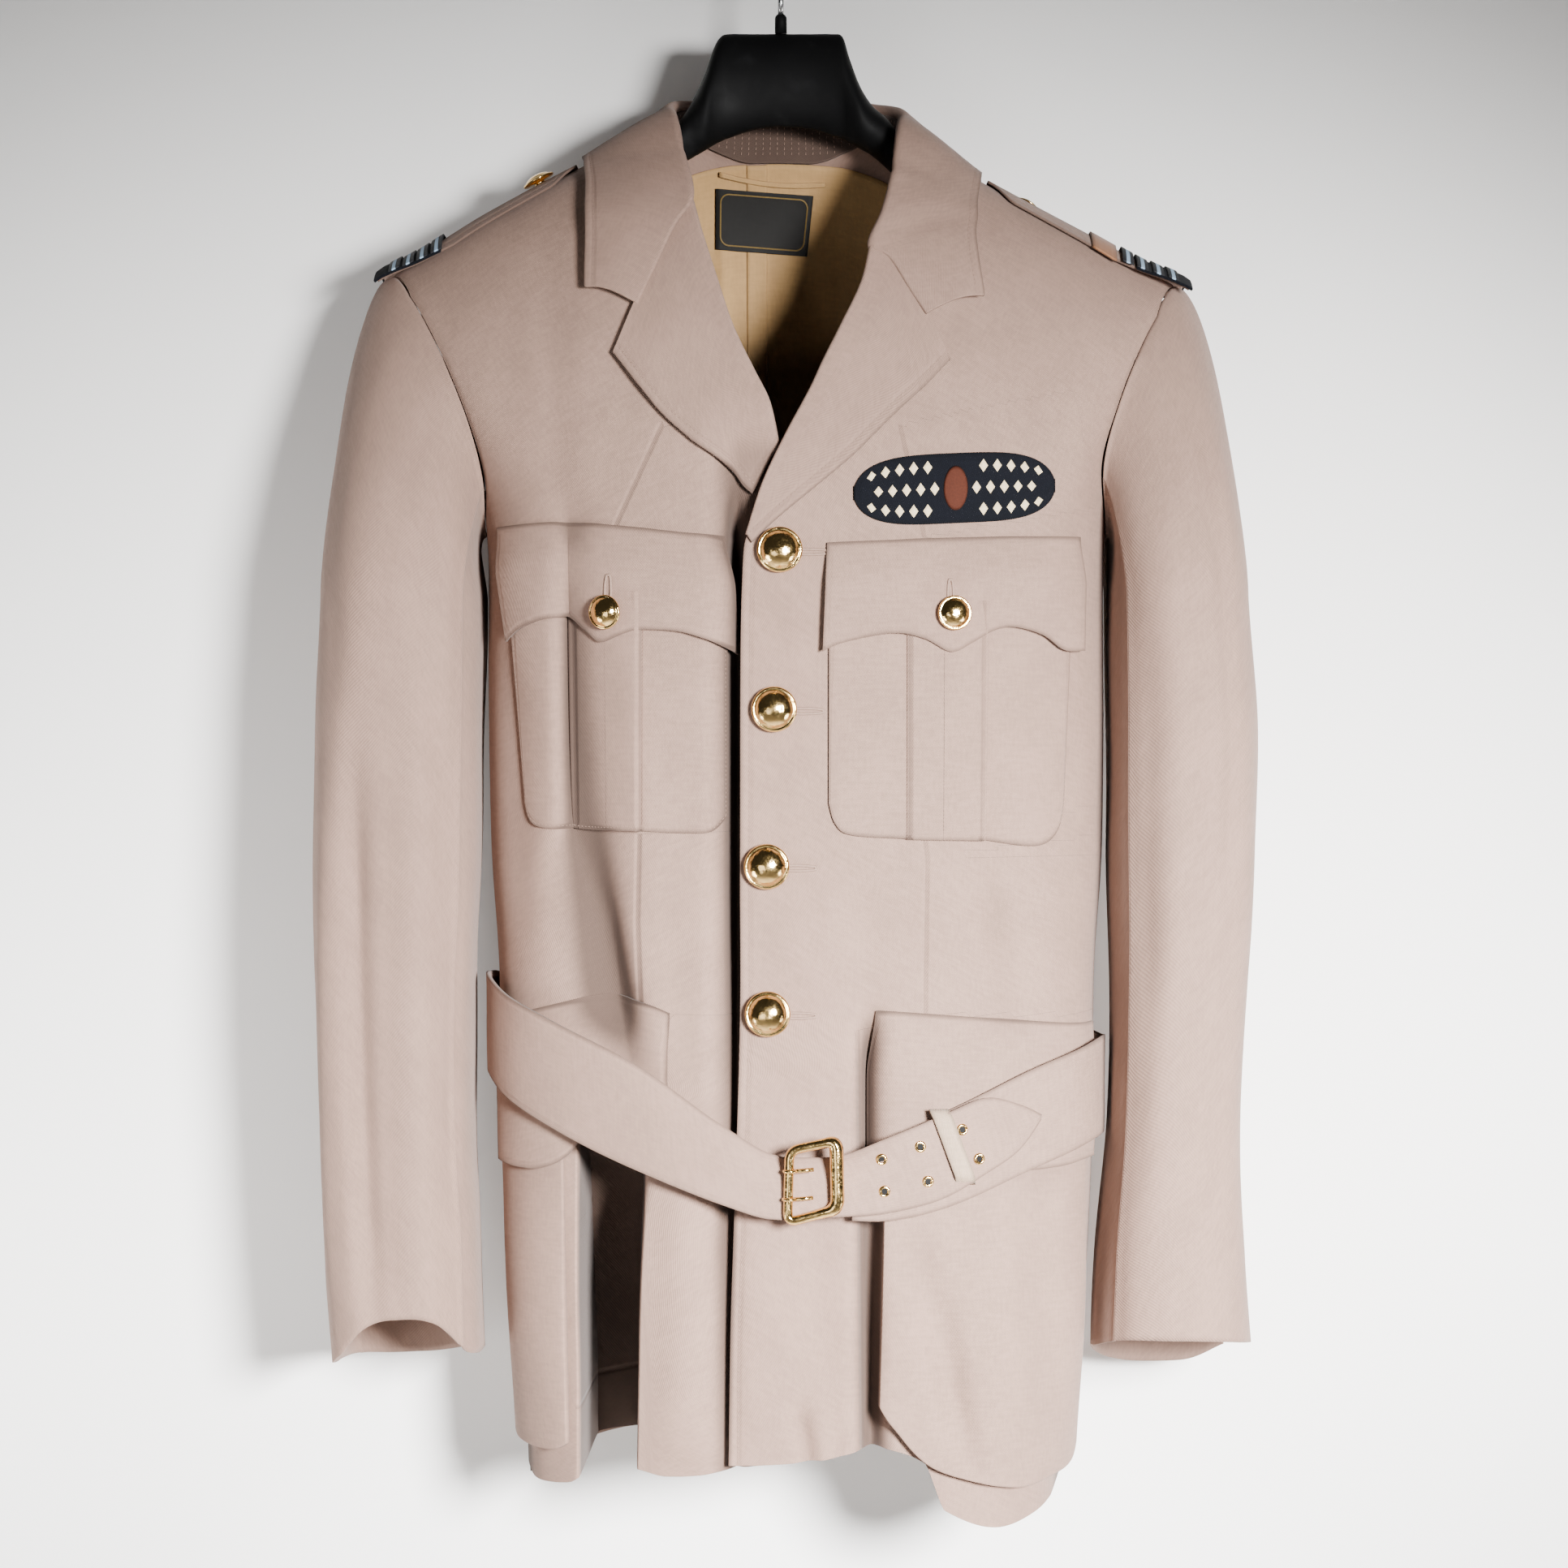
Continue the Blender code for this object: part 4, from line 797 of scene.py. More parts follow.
# Pockets and flaps: each column runs from its top point to its lowest point
Drop = namedtuple("Drop", "top_x top_z low_x low_z")
RIGHT_CHEST_FLAP = table(
    Drop,
    (-156, -362, -147, -426), (-146, -361.5, -137, -418), (-120, -361, -115, -412),
    (-104, -362, -103, -420), (-93, -363.5, -95, -427), (-84, -364.5, -86, -424),
    (-75, -365.5, -75, -421), (-55, -368, -55, -422), (-44, -369, -42, -426), (-32, -370, -29, -434),
)
LEFT_CHEST_FLAP = table(
    Drop,
    (25, -374, 22.5, -433), (36, -373.5, 34, -428), (60, -372.5, 60, -423), (76, -371.5, 77, -426),
    (90, -371, 91, -433), (102, -370.5, 102, -428), (113, -370, 113, -421.5), (124, -369.5, 124, -419),
    (140, -369, 140, -423), (152, -368.5, 152, -431), (164, -368, 163, -431),
)
RIGHT_CHEST_BAG = table(
    Drop,
    (-149, -400, -139.5, -515), (-145, -400, -137, -524), (-138, -400, -131, -528),
    (-118, -400, -114.5, -528.5), (-112, -400, -111, -528.5), (-78, -400, -78, -530),
    (-73.5, -400, -74.5, -530), (-50, -400, -50, -531), (-38, -400, -38, -530), (-31, -400, -31, -522),
)
LEFT_CHEST_BAG = table(
    Drop,
    (26, -405, 26, -515), (30, -405, 29.5, -526), (38, -405, 38, -532), (66, -405, 66, -534),
    (71.5, -405, 71.5, -534.5), (108, -405, 107.5, -535), (112.5, -405, 111.5, -535),
    (134, -405, 132, -538), (148, -405, 144, -537), (155, -405, 151.5, -529), (159, -405, 154.5, -515),
)
LEFT_HIP_FLAP = table(
    Drop,
    (52, -627, 50.5, -712), (59, -627.5, 58, -712.5), (90, -630, 89, -714), (130, -633.5, 128, -715),
    (155, -636, 152, -714), (168, -637, 163, -712), (173, -637, 169, -711),
)
RIGHT_HIP_FLAP = table(
    Drop,
    (-154, -634, -151.5, -713), (-149, -632.5, -147.5, -714.5), (-140, -630, -141, -715.5),
    (-122, -625, -129, -715), (-105, -621, -115, -708), (-88, -620, -98, -689), (-72, -624, -78, -683),
    (-60, -629, -60, -676),
)
LEFT_HIP_BAG = table(
    Drop,
    (57, -704, 53.5, -840), (66, -704, 61, -851), (84, -704, 82, -872), (125, -704, 122, -884),
    (150, -704, 144, -881), (162, -704, 154.5, -877), (168, -704, 159.5, -868),
)
RIGHT_HIP_BAG = table(
    Drop,
    (-154, -703, -145, -864), (-150, -703, -141.5, -867), (-138, -703, -132, -868.5),
    (-127, -703, -122, -868), (-119, -703, -115.5, -864),
)


# Belt: stations along its middle, from under its tip around the body and back to the tip
Belt = namedtuple("Belt", "turn z half lift lean")
BELT = table(
    Belt,
    (6.5, -722, 17, 11.0, 3), (13, -717, 22, 10.0, 1), (24, -706, 26, 10.0, 0), (42, -688, 27, 10.0, 0),
    (60, -677, 27, 10.0, 0), (75, -672, 27, 8.5, 0), (92, -672, 26, 4.5, 0), (115, -668, 25, 4.0, 0),
    (145, -661, 25, 3.6, 0), (180, -654, 25, 3.6, 0), (215, -647, 25, 3.6, 0), (245, -641, 25, 4.0, 0),
    (268, -636, 25.5, 4.5, 0), (283, -638, 27, 9.0, 0), (296, -648, 28, 10.5, 0),
    (315, -663, 29, 13.0, 0), (335, -684, 28, 16.0, 2), (350, -708, 21, 18.0, 4),
    (357, -720, 17, 18.0, 6), (361, -721, 15.5, 17.5, 6), (365.5, -720, 16, 16.5, 6),
    (372.5, -714, 20, 15.5, 2), (382, -705, 22.5, 14.0, 0), (391, -694.5, 20.5, 13.4, 0),
    (399, -690.5, 12.5, 13.2, 0), (405, -685.5, 1.5, 13.4, 0),
)


# The hanger: stations along its length, whose arms follow the shoulder line where top is 0
Station = namedtuple("Station", "x top low depth")
HANGER = table(
    Station,
    (-208, -213, -223, 8), (-190, -200.5, -216, 11), (-160, -182.5, -203, 15), (-111, -155.8, -180, 17),
    (-88, -143, -168, 17), (-63, -134, -155, 13), (-57, -127, -152, 13), (-50, -116, -148, 13),
    (-43, -101, -144, 16), (-38, -86, -141, 15), (-34, -79.5, -139, 14), (-29, -78, -137, 13),
    (-15, -78, -132.5, 12), (0, -78, -131, 12), (17, -78, -132.5, 12), (29, -78, -136, 13),
    (35, -79.5, -138, 14), (39, -92, -140, 15), (45, -108, -143, 16), (52, -119, -147, 14),
    (60, -126, -154, 13), (68, -134.5, -161, 13), (90, -149, -173, 15), (118, -168, -191, 17),
    (165, -193.5, -213, 15), (193, -209, -224, 11), (211, -220, -229, 8),
)


def creased(x, z, creases):
    """How far the cloth is pushed in at a place by a table's creases, which fade at their ends."""
    total = 0.0
    for crease in creases:
        reach = 2.4 * crease.half
        if not min(crease.x0, crease.x1) - reach < x < max(crease.x0, crease.x1) + reach:
            continue
        dx, dz = crease.x1 - crease.x0, crease.z1 - crease.z0
        share = ((x - crease.x0) * dx + (z - crease.z0) * dz) / (dx * dx + dz * dz)
        if not 0 < share < 1:
            continue
        away = (x - crease.x0 - share * dx) ** 2 + (z - crease.z0 - share * dz) ** 2
        fade = ease(share, 0, 0.3) * ease(share, 1, 0.65)
        total += crease.deep * fade * math.exp(-away / crease.half ** 2)
    return total


def worn(point, face):
    """A place on the body after its creases and its slight unevenness."""
    creases = FRONT_CREASES if face == FRONT else BACK_CREASES
    uneven = noise.noise(Vector((point.x * 0.022, face * 5, point.z * 0.011)))
    uneven += 0.35 * noise.noise(Vector((point.x * 0.06, face * 9, point.z * 0.03)))
    near_side = ease(abs(point.y), 8, 30)
    push = creased(point.x, point.z, creases) + 1.1 * uneven
    return Vector((point.x, point.y - face * push * near_side, point.z))


def sunk(point):
    """How far a place on the cloth lies inside the plain body, in millimetres."""
    face = FRONT if point.y < 0 else BACK
    return abs(skin(side_angle(point.x, point.z), point.z, face).y) - abs(point.y)


def on_cloth(x, z, lift=0.0, face=FRONT, folds=plain):
    return worn(on_body(x, z, lift, face, folds), face)


# The cut of what shows of each piece, in metres, from a maker's pattern
Cut = namedtuple("Cut", "width length area")


def dress(piece, node):
    """Puts a piece on the part in place of its plain solid, with its finish and its cut."""
    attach(piece, "root")
    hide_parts(node)
    return piece


def add(piece):
    """Puts a small piece that has no solid of its own on the part."""
    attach(piece, "root")
    return piece


def finish(name, shape, look, smooth=True):
    """Makes an object from a bmesh, gives it its material and shades it."""
    mesh = bpy.data.meshes.new(name)
    shape.to_mesh(mesh)
    shape.free()
    thing = bpy.data.objects.new(name, mesh)
    bpy.context.scene.collection.objects.link(thing)
    mesh.materials.append(look)
    if smooth:
        mesh.shade_smooth()
    return thing


def runs(points):
    """How far each point of a line is from its first, along the line."""
    run = [0.0]
    for a, b in zip(points, points[1:]):
        run.append(run[-1] + (b - a).length)
    return run


class Weave:
    """A grid of points on the cloth, with the distances along its rows and down its columns."""

    def __init__(self, place, columns, rows):
        self.points = [[place(column, row) for column in columns] for row in rows]
        self.across = [runs(line) for line in self.points]
        downs = [runs([line[i] for line in self.points]) for i in range(len(columns))]
        self.down = [[downs[i][j] for i in range(len(columns))] for j in range(len(rows))]

    def edge(self, j, i, sides):
        """How far a place is from the nearest of the named sides: left, right, top or bottom."""
        distances = {
            "l": self.across[j][i],
            "r": self.across[j][-1] - self.across[j][i],
            "t": self.down[j][i],
            "b": self.down[-1][i] - self.down[j][i],
        }
        return min([distances[side] for side in sides] or [99.0])

    def normal(self, j, i, outward):
        rows, columns = len(self.points), len(self.points[0])
        a = self.points[min(j + 1, rows - 1)][i] - self.points[max(j - 1, 0)][i]
        b = self.points[j][min(i + 1, columns - 1)] - self.points[j][max(i - 1, 0)]
        normal = a.cross(b).normalized()
        return normal if normal.dot(outward) > 0 else -normal

    def tuck(self, sides, outward, deep=0.8, reach=2.2):
        """Draws the cloth in along the named sides, as a seam does."""
        pulled = []
        for j, row in enumerate(self.points):
            for i, point in enumerate(row):
                off = self.edge(j, i, sides)
                if off < 3 * reach:
                    pulled.append((j, i, point - self.normal(j, i, outward) * deep * bump(off, 0, reach)))
        for j, i, point in pulled:
            self.points[j][i] = point

    def line(self, side, inset, sides, outward):
        """Points and normals on the cloth at an inset from one side, kept as far from the others named."""
        found = []
        rows, columns = len(self.points), len(self.points[0])
        if side in "lr":
            ways = [[(j, i) for i in range(columns)] for j in range(rows)]
            distance = self.across
        else:
            ways = [[(j, i) for j in range(rows)] for i in range(columns)]
            distance = self.down
        for way in ways:
            last_j, last_i = way[-1]
            total = distance[last_j][last_i]
            goal = inset if side in "lt" else total - inset
            for (j, i), (k, h) in zip(way, way[1:]):
                low, high = distance[j][i], distance[k][h]
                if low <= goal <= high and high > low:
                    if self.edge(j, i, sides) < inset - 3:
                        break
                    share = (goal - low) / (high - low)
                    point = self.points[j][i].lerp(self.points[k][h], share)
                    found.append((point, self.normal(j, i, outward)))
                    break
        return found


def cloth(name, place, columns, rows, look, wall=WALL, stitched="", outward=(0, -1, 0), dart=None,
          seamed="", inset=EDGE_INSET, hollow=None):
    """A shell of cloth over a grid; its UVs run along the cloth in metres, and it knows its sewn edges."""
    weave = Weave(place, columns, rows)
    if seamed:
        weave.tuck(seamed, Vector(outward))
    shape = bmesh.new()
    bmesh.ops.create_grid(shape, x_segments=len(columns) - 1, y_segments=len(rows) - 1, size=1)
    edge = shape.verts.layers.float.new("edge_mm")
    seam = shape.verts.layers.float.new("dart_mm")
    deep = shape.verts.layers.float.new("hollow_mm")
    uv = shape.loops.layers.uv.new("Cloth")
    shape.verts.ensure_lookup_table()
    middle = len(columns) // 2
    flat = {}
    for number, vert in enumerate(shape.verts):
        j, i = divmod(number, len(columns))
        point = weave.points[j][i]
        vert.co = point * MM
        off = weave.edge(j, i, stitched)
        vert[edge] = off + EDGE_INSET - inset
        vert[seam] = dart(point) if dart else 99.0
        # Painted shade: how deep the place lies in the cloth's folds, and a band of it along the stitched
        # edges
        vert[deep] = max(hollow(point) if hollow else 0.0, 0.0) + EDGE_SHADE * bump(off, 0, 1.3)
        flat[vert] = ((weave.across[j][i] - weave.across[j][middle]) * MM, weave.down[j][i] * MM)
    for face in shape.faces:
        for loop in face.loops:
            loop[uv].uv = flat[loop.vert]
    thing = finish(name, shape, look)
    solid = thing.modifiers.new("Wall", "SOLIDIFY")
    solid.thickness = wall * MM
    solid.offset = 0
    return thing, weave


def clothe(node, slot, *cut, **options):
    """Puts a piece of cloth on the part in place of its plain solid, and returns its grid."""
    piece, weave = cloth(node + "_cloth", *cut, **options)
    dress(piece, node)
    return weave


def sew(name, lines, lift, pitch=2.7, size=0.3):
    """A row of thread stitches along each line of places on the cloth."""
    stitches = bmesh.new()
    for line in lines:
        run = runs([point for point, normal in line])
        if len(run) < 2:
            continue
        count = int(run[-1] / pitch)
        at = 0
        for n in range(count):
            goal = (n + 0.5) * pitch
            while run[at + 1] < goal:
                at += 1
            share = (goal - run[at]) / max(run[at + 1] - run[at], 1e-6)
            point = line[at][0].lerp(line[at + 1][0], share)
            ahead = (line[at + 1][0] - line[at][0]).normalized()
            normal = line[at][1]
            side = ahead.cross(normal).normalized()
            if (line[at + 1][0] - line[at][0]).length > 4 * pitch:
                continue
            made = bmesh.ops.create_icosphere(stitches, subdivisions=1, radius=1)["verts"]
            for vert in made:
                x, y, z = vert.co
                offset = ahead * x * pitch * 0.4 + side * y * size + normal * (z * size * 0.7 + lift)
                vert.co = (point + offset) * MM
    add(finish(name, stitches, thread("stone")))


def between(a, b, count):
    return [lerp(a, b, i / count) for i in range(count + 1)]


def even(length, step=STEP):
    """Shares from 0 to 1 about a step apart along a length, with a close pair at each end."""
    count = max(2, round(length / step))
    shares = between(0, 1, count)
    tight = 0.5 / length
    return [0, tight] + shares[1:-1] + [1 - tight, 1]


def keyed(rows, step=STEP):
    """Row numbers through a table, about a step apart, with a close pair at each end."""
    keys = [0.0]
    first = 0
    for i, (a, b) in enumerate(zip(rows, rows[1:])):
        reach = max(abs(p - q) for p, q in zip(a[:4], b[:4]))
        cells = max(1, round(reach / step))
        keys += [i + (j + 1) / cells for j in range(cells)]
        if i == 0:
            first = 0.5 / reach
    last = 0.5 / max(reach, 1)
    return [0.0, first] + keys[1:-1] + [keys[-1] - last, keys[-1]]


def spread(place, first, last, rows, step=STEP, bend=5.0):
    """Places from first to last, close together where the cloth is steep or bends along the named rows."""
    fine = 500
    lines = [[place(lerp(first, last, i / fine), row) for i in range(fine + 1)] for row in rows]
    run = [0.0]
    for i in range(fine):
        longest = 0.0
        for line in lines:
            length = (line[i + 1] - line[i]).length
            if 0 < i < fine - 1 and bend:
                ahead = (line[i + 2] - line[i + 1])
                length += bend * (line[i + 1] - line[i]).angle(ahead, 0)
            longest = max(longest, length)
        run.append(run[-1] + longest)
    count = max(2, round(run[-1] / step))
    found = []
    at = 0
    for n in range(count + 1):
        goal = run[-1] * n / count
        while at < fine - 1 and run[at + 1] < goal:
            at += 1
        share = clamp((goal - run[at]) / max(run[at + 1] - run[at], 1e-9), 0, 1)
        found.append(lerp(first, last, (at + share) / fine))
    found[-1] = last
    tight = 0.5 / run[-1] * (last - first)
    return [found[0], found[0] + tight] + found[1:-1] + [found[-1] - tight, found[-1]]


# Fronts and backs
def panel_place(rows, hem, face, folds, neck=0.0, mirror=1, shift=0.0):
    """The function that places a front or back: its cut edges lie at its table's rows and its hem."""
    def drop(edge_x, edge_z):
        return ridge(edge_x * mirror + shift) - edge_z

    def place(u, key):
        row = smooth_row(rows, key)
        xs = (row.inner_x, row.outer_x)
        drops = (drop(row.inner_x, row.inner_z), drop(row.outer_x, row.outer_z))
        if key < 1:
            first = rows[1]
            xs = (lerp(rows[0].inner_x, first.inner_x, key), lerp(rows[0].outer_x, first.outer_x, key))
            drops = (drop(first.inner_x, first.inner_z), drop(first.outer_x, first.outer_z))
            drops = (drops[0] * key * key, drops[1] * key * key)
        x = lerp(*xs, u) * mirror + shift
        sloped = ridge(x) - lerp(*drops, u)
        level = lerp(row.inner_z, row.outer_z, u)
        z = lerp(sloped, level, ease(level, SLOPED_TO, LEVEL_FROM))
        if neck:
            z -= neck * ease(abs(x), NECK_SIDE, 15) * (1 - ease(key, 0, 3))
        if z < -700:
            end = lerp(rows[-1].inner_z, rows[-1].outer_z, u)
            z += (at_key(hem, x).z - end) * ease(z, HEM_FROM, end)
        point = on_cloth(x, z, 0, face, folds)
        # The hem is drawn in a little under both hip pockets
        point.x += 5 * ease(x, -130, -148) * ease(z, -866, -872)
        point.x -= 7 * ease(x, 138, 166) * ease(z, -878, -885)
        if abs(point.y) < SEAM / 2 and face * point.y > -1:
            point.y = face * SEAM / 2
        return point
    return place


def front_and_back(side):
    """The places of the wearer's left or right front and back, by side: 1 for left and -1 for right."""
    back_shift = BACK_CENTRE + side * SEAM / 2
    back = panel_place(BACK_HALF, BACK_HEM, BACK, plain, NECK_DROP, side, back_shift)
    if side > 0:
        return panel_place(LEFT_FRONT, LEFT_HEM, FRONT, left_front_folds), back
    return panel_place(RIGHT_FRONT, RIGHT_HEM, FRONT, right_front_folds), back


def nearest_line(lines):
    """How far a place on a front is to one side of the nearest of some lines, in millimetres."""
    def measure(point):
        best = 99.0
        for x0, z0, x1, z1 in lines:
            dx, dz = x1 - x0, z1 - z0
            length = math.hypot(dx, dz)
            share = ((point.x - x0) * dx + (point.z - z0) * dz) / length ** 2
            if -0.02 < share < 1.02:
                away = ((point.x - x0) * dz - (point.z - z0) * dx) / length
                if abs(away) < abs(best):
                    best = away
        return best
    return measure


LEFT_DARTS = nearest_line([
    (64, -310, 77, -371), (77, -530, 79, -545), (79, -545, 78, -629), (42, -640, 44, -860),
])
RIGHT_DARTS = nearest_line([
    (-64, -308, -90, -364), (-77, -530, -78, -580), (-78, -580, -76, -632), (-111, -845, -77, -838),
])


def make_body():
    look = woven("stone")
    for name, side, darts, step in (("left", 1, LEFT_DARTS, STEP), ("right", -1, RIGHT_DARTS, 4.2)):
        front, back = front_and_back(side)
        rows = LEFT_FRONT if side > 0 else RIGHT_FRONT
        columns = spread(front, 0, 1, (2, 6, 9.3, 10, 10.6, 11), step)
        weave = clothe(f"{name}_front", "cloth", front, columns, keyed(rows), look,
                       stitched="l" if side > 0 else "", seamed="rt", dart=darts, hollow=sunk)
        if side > 0:
            edge = weave.line("l", EDGE_INSET, "", FORWARD)
            line = [spot for spot in edge if spot[0].z < -362]
            sew("placket_stitches", [line], STITCH_LIFT)
        columns = spread(back, 0, 1, (2, 5, 8), STEP)
        clothe(f"{name}_back", "cloth", back, columns, keyed(BACK_HALF, 3.8), look,
               seamed="lrt", outward=(0, 1, 0), hollow=sunk)


# Sleeves
def armhole(front_place, back_place):
    """The armhole's two edges, front and back, as points even along each from shoulder to underarm."""
    def spread_out(place):
        fine = [place(1, ARMHOLE_ROWS * i / 60) for i in range(61)]
        run = runs(fine)

        def point(share):
            target = share * run[-1]
            for i in range(60):
                if run[i + 1] >= target:
                    return fine[i].lerp(fine[i + 1], (target - run[i]) / (run[i + 1] - run[i]))
            return fine[-1]
        return point
    return spread_out(front_place), spread_out(back_place)


def sleeve_place(side, tubes, cuff, edges, creases):
    """Places a sleeve by its turn, from 0 outside through 90 in front, and its key down the arm."""
    def ring(turn, z):
        row = at_key(tubes, z)
        c, s = math.cos(math.radians(turn)), math.sin(math.radians(turn))
        middle, half = (row.outer + row.inner) / 2, abs(row.outer - row.inner) / 2
        depth, centre = (row.back - row.front) / 2, (row.front + row.back) / 2
        power = 2 / SLEEVE_ROUND
        return Vector((
            middle + side * half * math.copysign(abs(c) ** power, c),
            centre - depth * math.copysign(abs(s) ** power, s),
            z,
        ))

    def smooth(turn, key):
        full = turn % 360
        hem = at_key(cuff, turn).z
        if key >= 1:
            return ring(turn, lerp(tubes[0].z, hem, key - 1))
        low = ring(turn, tubes[0].z)
        high = edges[0](full / 180) if full <= 180 else edges[1]((360 - full) / 180)
        down = (1 - math.cos(math.radians(full))) / 2
        steep = math.radians(lerp(*CAP_STEEP, ease(down, 0.3, 1)))
        forward = -0.25 * math.sin(math.radians(full)) * (1 - down)
        out = Vector((side * math.cos(steep), forward, -math.sin(steep)))
        apart = 0.5 + 1.2 * ease(down, 0.1, 0) + 1.2 * ease(down, 0.6, 0.95)
        high = high + Vector((side * apart, 0, -0.4 * apart))
        pull = lerp(*CAP_PULL, ease(down, 0.1, 0.95))
        fall = lerp(*CAP_FALL, ease(down, 0.1, 0.95))
        t, t2, t3 = key, key * key, key ** 3
        return (
            high * (2 * t3 - 3 * t2 + 1) + out * pull * (t3 - 2 * t2 + t)
            + low * (3 * t2 - 2 * t3) + Vector((0, 0, -fall)) * (t3 - t2)
        )

    def place(turn, key):
        point = smooth(turn, key)
        row = at_key(tubes, min(point.z, tubes[0].z))
        middle = Vector(((row.outer + row.inner) / 2, (row.front + row.back) / 2, point.z))
        inwards = (middle - point).normalized()
        angle = (turn + 60) % 360 - 60
        uneven = noise.noise(Vector((math.cos(math.radians(turn)) * 1.7 + 5 * side,
                                     math.sin(math.radians(turn)) * 1.7, point.z * 0.012)))
        push = creased(angle, point.z, creases) + 1.6 * uneven
        return point + inwards * push * ease(key, 0, 0.35)
    return place


def make_sleeves():
    look = woven("stone")
    gap = 0.15
    for name, side, tubes, cuff in (
        ("left", 1, LEFT_SLEEVE, LEFT_CUFF),
        ("right", -1, RIGHT_SLEEVE, RIGHT_CUFF),
    ):
        front, back = front_and_back(side)
        place = sleeve_place(side, tubes, cuff, armhole(front, back), SLEEVE_CREASES[name])
        first, middle, last = SEAM_TURNS
        keys = between(0, 1, 44)[:-1] + between(1, 2, 124)
        for part, start, end in (("top", first, middle), ("under", middle, last)):
            turns = spread(place, start + gap, end - gap, (0.5, 1.3, 1.9))
            clothe(f"{name}_{part}_sleeve", "cloth", place, turns, keys, look,
                   seamed="lrt", outward=(side, 0, 0))


# Collar and lapels
def collar_place(u, key):
    """The collar's fall: u runs from its fold to its edge, and below 0 it rolls over into the neck."""
    c = smooth_row(COLLAR, key)
    fold = Vector((c.fold_x, c.fold_y, c.fold_z))
    edge = Vector((c.edge_x, c.edge_y, c.edge_z))

    def fall(share):
        point = fold.lerp(edge, share)
        away = point - NECK_MIDDLE
        away.z = 0
        along = math.sin(math.pi * share)
        point += away.normalized() * 2 * along + Vector((0, 0, 3 * along))
        point = clear_of_body(point, COLLAR_LIFT)
        wave = noise.noise(Vector((key * 0.9, share * 1.5, 4)))
        return point + away.normalized() * 0.8 * wave
    if u >= 0:
        return fall(u)
    start = fall(0)
    down = (fall(0.08) - start).normalized()
    along = Vector((smooth_row(COLLAR, key + 0.1)[:3])) - Vector((smooth_row(COLLAR, key - 0.1)[:3]))
    inwards = along.cross(down).normalized()
    if inwards.dot(NECK_MIDDLE - start) < 0:
        inwards = -inwards
    radius = lerp(0.5, 2.4, ease(key, 2.4, 3.8) * ease(key, 16.6, 15.9))
    turn = min(-u, 0.8) / 0.8 * math.pi
    tail = max(-u - 0.8, 0) / 0.2 * 1.5 * radius
    return start + inwards * radius * (1 - math.cos(turn)) - down * (radius * math.sin(turn) - tail)


def stand_place(u, key):
    """The collar's stand: u runs from its top to the neck seam, just above the back's neck edge."""
    s = smooth_row(STAND, key)
    seam = on_body(s.seam_x, ridge(s.seam_x) - NECK_DROP * ease(abs(s.seam_x), NECK_SIDE, 15), 0, BACK)
    return Vector((s.top_x, s.top_y, s.top_z)).lerp(seam + Vector((0, -3.6, -1.5)), u)


def lapel_place(rows, folds, gorge):
    """A lapel from its roll edge at 0 to its outer edge at 1; below 0 it rolls under, onto the front."""
    def place(u, key):
        row = smooth_row(rows, key)
        x = lerp(row.roll_x, row.edge_x, max(u, 0))
        z = lerp(row.roll_z, row.edge_z, max(u, 0))
        lift = row.lift
        if u < 0:
            out = Vector((row.roll_x - row.edge_x, row.roll_z - row.edge_z)).normalized()
            turn = -u * math.pi
            radius = (lift - 0.9) / 2
            x += out.x * radius * math.sin(turn)
            z += out.y * radius * math.sin(turn) * 0.3
            lift = 0.9 + radius * (1 + math.cos(turn))
        if key < 1.5 and u > 0:
            z += at_key(gorge, u).rise * ease(key, 1.5, 0)
        curl = 0.9 * ease(u, 0.55, 1) * ease(key, 0, 1.2) * ease(key, len(rows) - 1, len(rows) - 3)
        return on_cloth(x, z, lift + curl, FRONT, folds)
    return place


def make_collar():
    look = woven("stone")
    roll = [-1, -0.9, -0.8, -0.65, -0.5, -0.35, -0.2, -0.1]
    columns = roll + even(54)
    keys = keyed(COLLAR, 3.0)
    weave = clothe("collar_fall", "cloth", collar_place, columns, keys, look, COLLAR_WALL, "r",
                   outward=(0, 0, 1))
    edge = weave.line("r", EDGE_INSET, "tb", Vector((0, 0, 1)))
    sew("collar_stitches", [edge], 1.0 + STITCH_LIFT - 0.65)
    # The stand is given an even painted shade
    clothe("collar_stand", "cloth", stand_place, even(26, 2.5), keyed(STAND, 2.6), look,
           hollow=lambda point: STAND_SHADE)
    pads = []
    for key in [0.6 + 0.16 * n for n in range(43)]:
        pads.append([(stand_place(u, key) + Vector((0, -1.0, 0)), Vector((0, -1, 0.2)).normalized())
                     for u in (0.12, 0.4, 0.7, 0.95)])
    sew("stand_stitches", pads, 0.0, 3.4, 0.3)
    for name, rows, folds, gorge in (
        ("right", RIGHT_LAPEL, right_front_folds, RIGHT_GORGE),
        ("left", LEFT_LAPEL, left_front_folds, LEFT_GORGE),
    ):
        place = lapel_place(rows, folds, gorge)
        columns = [-1, -0.87, -0.75, -0.62, -0.5, -0.37, -0.25, -0.12] + even(58, 3.0)
        weave = clothe(f"{name}_lapel", "cloth", place, columns, keyed(rows, 3.0), look, LAPEL_WALL, "rb",
                       hollow=sunk)
        edge = weave.line("r", EDGE_INSET, "t", FORWARD)
        sew(f"{name}_lapel_stitches", [edge], 0.9 + STITCH_LIFT - 0.65)


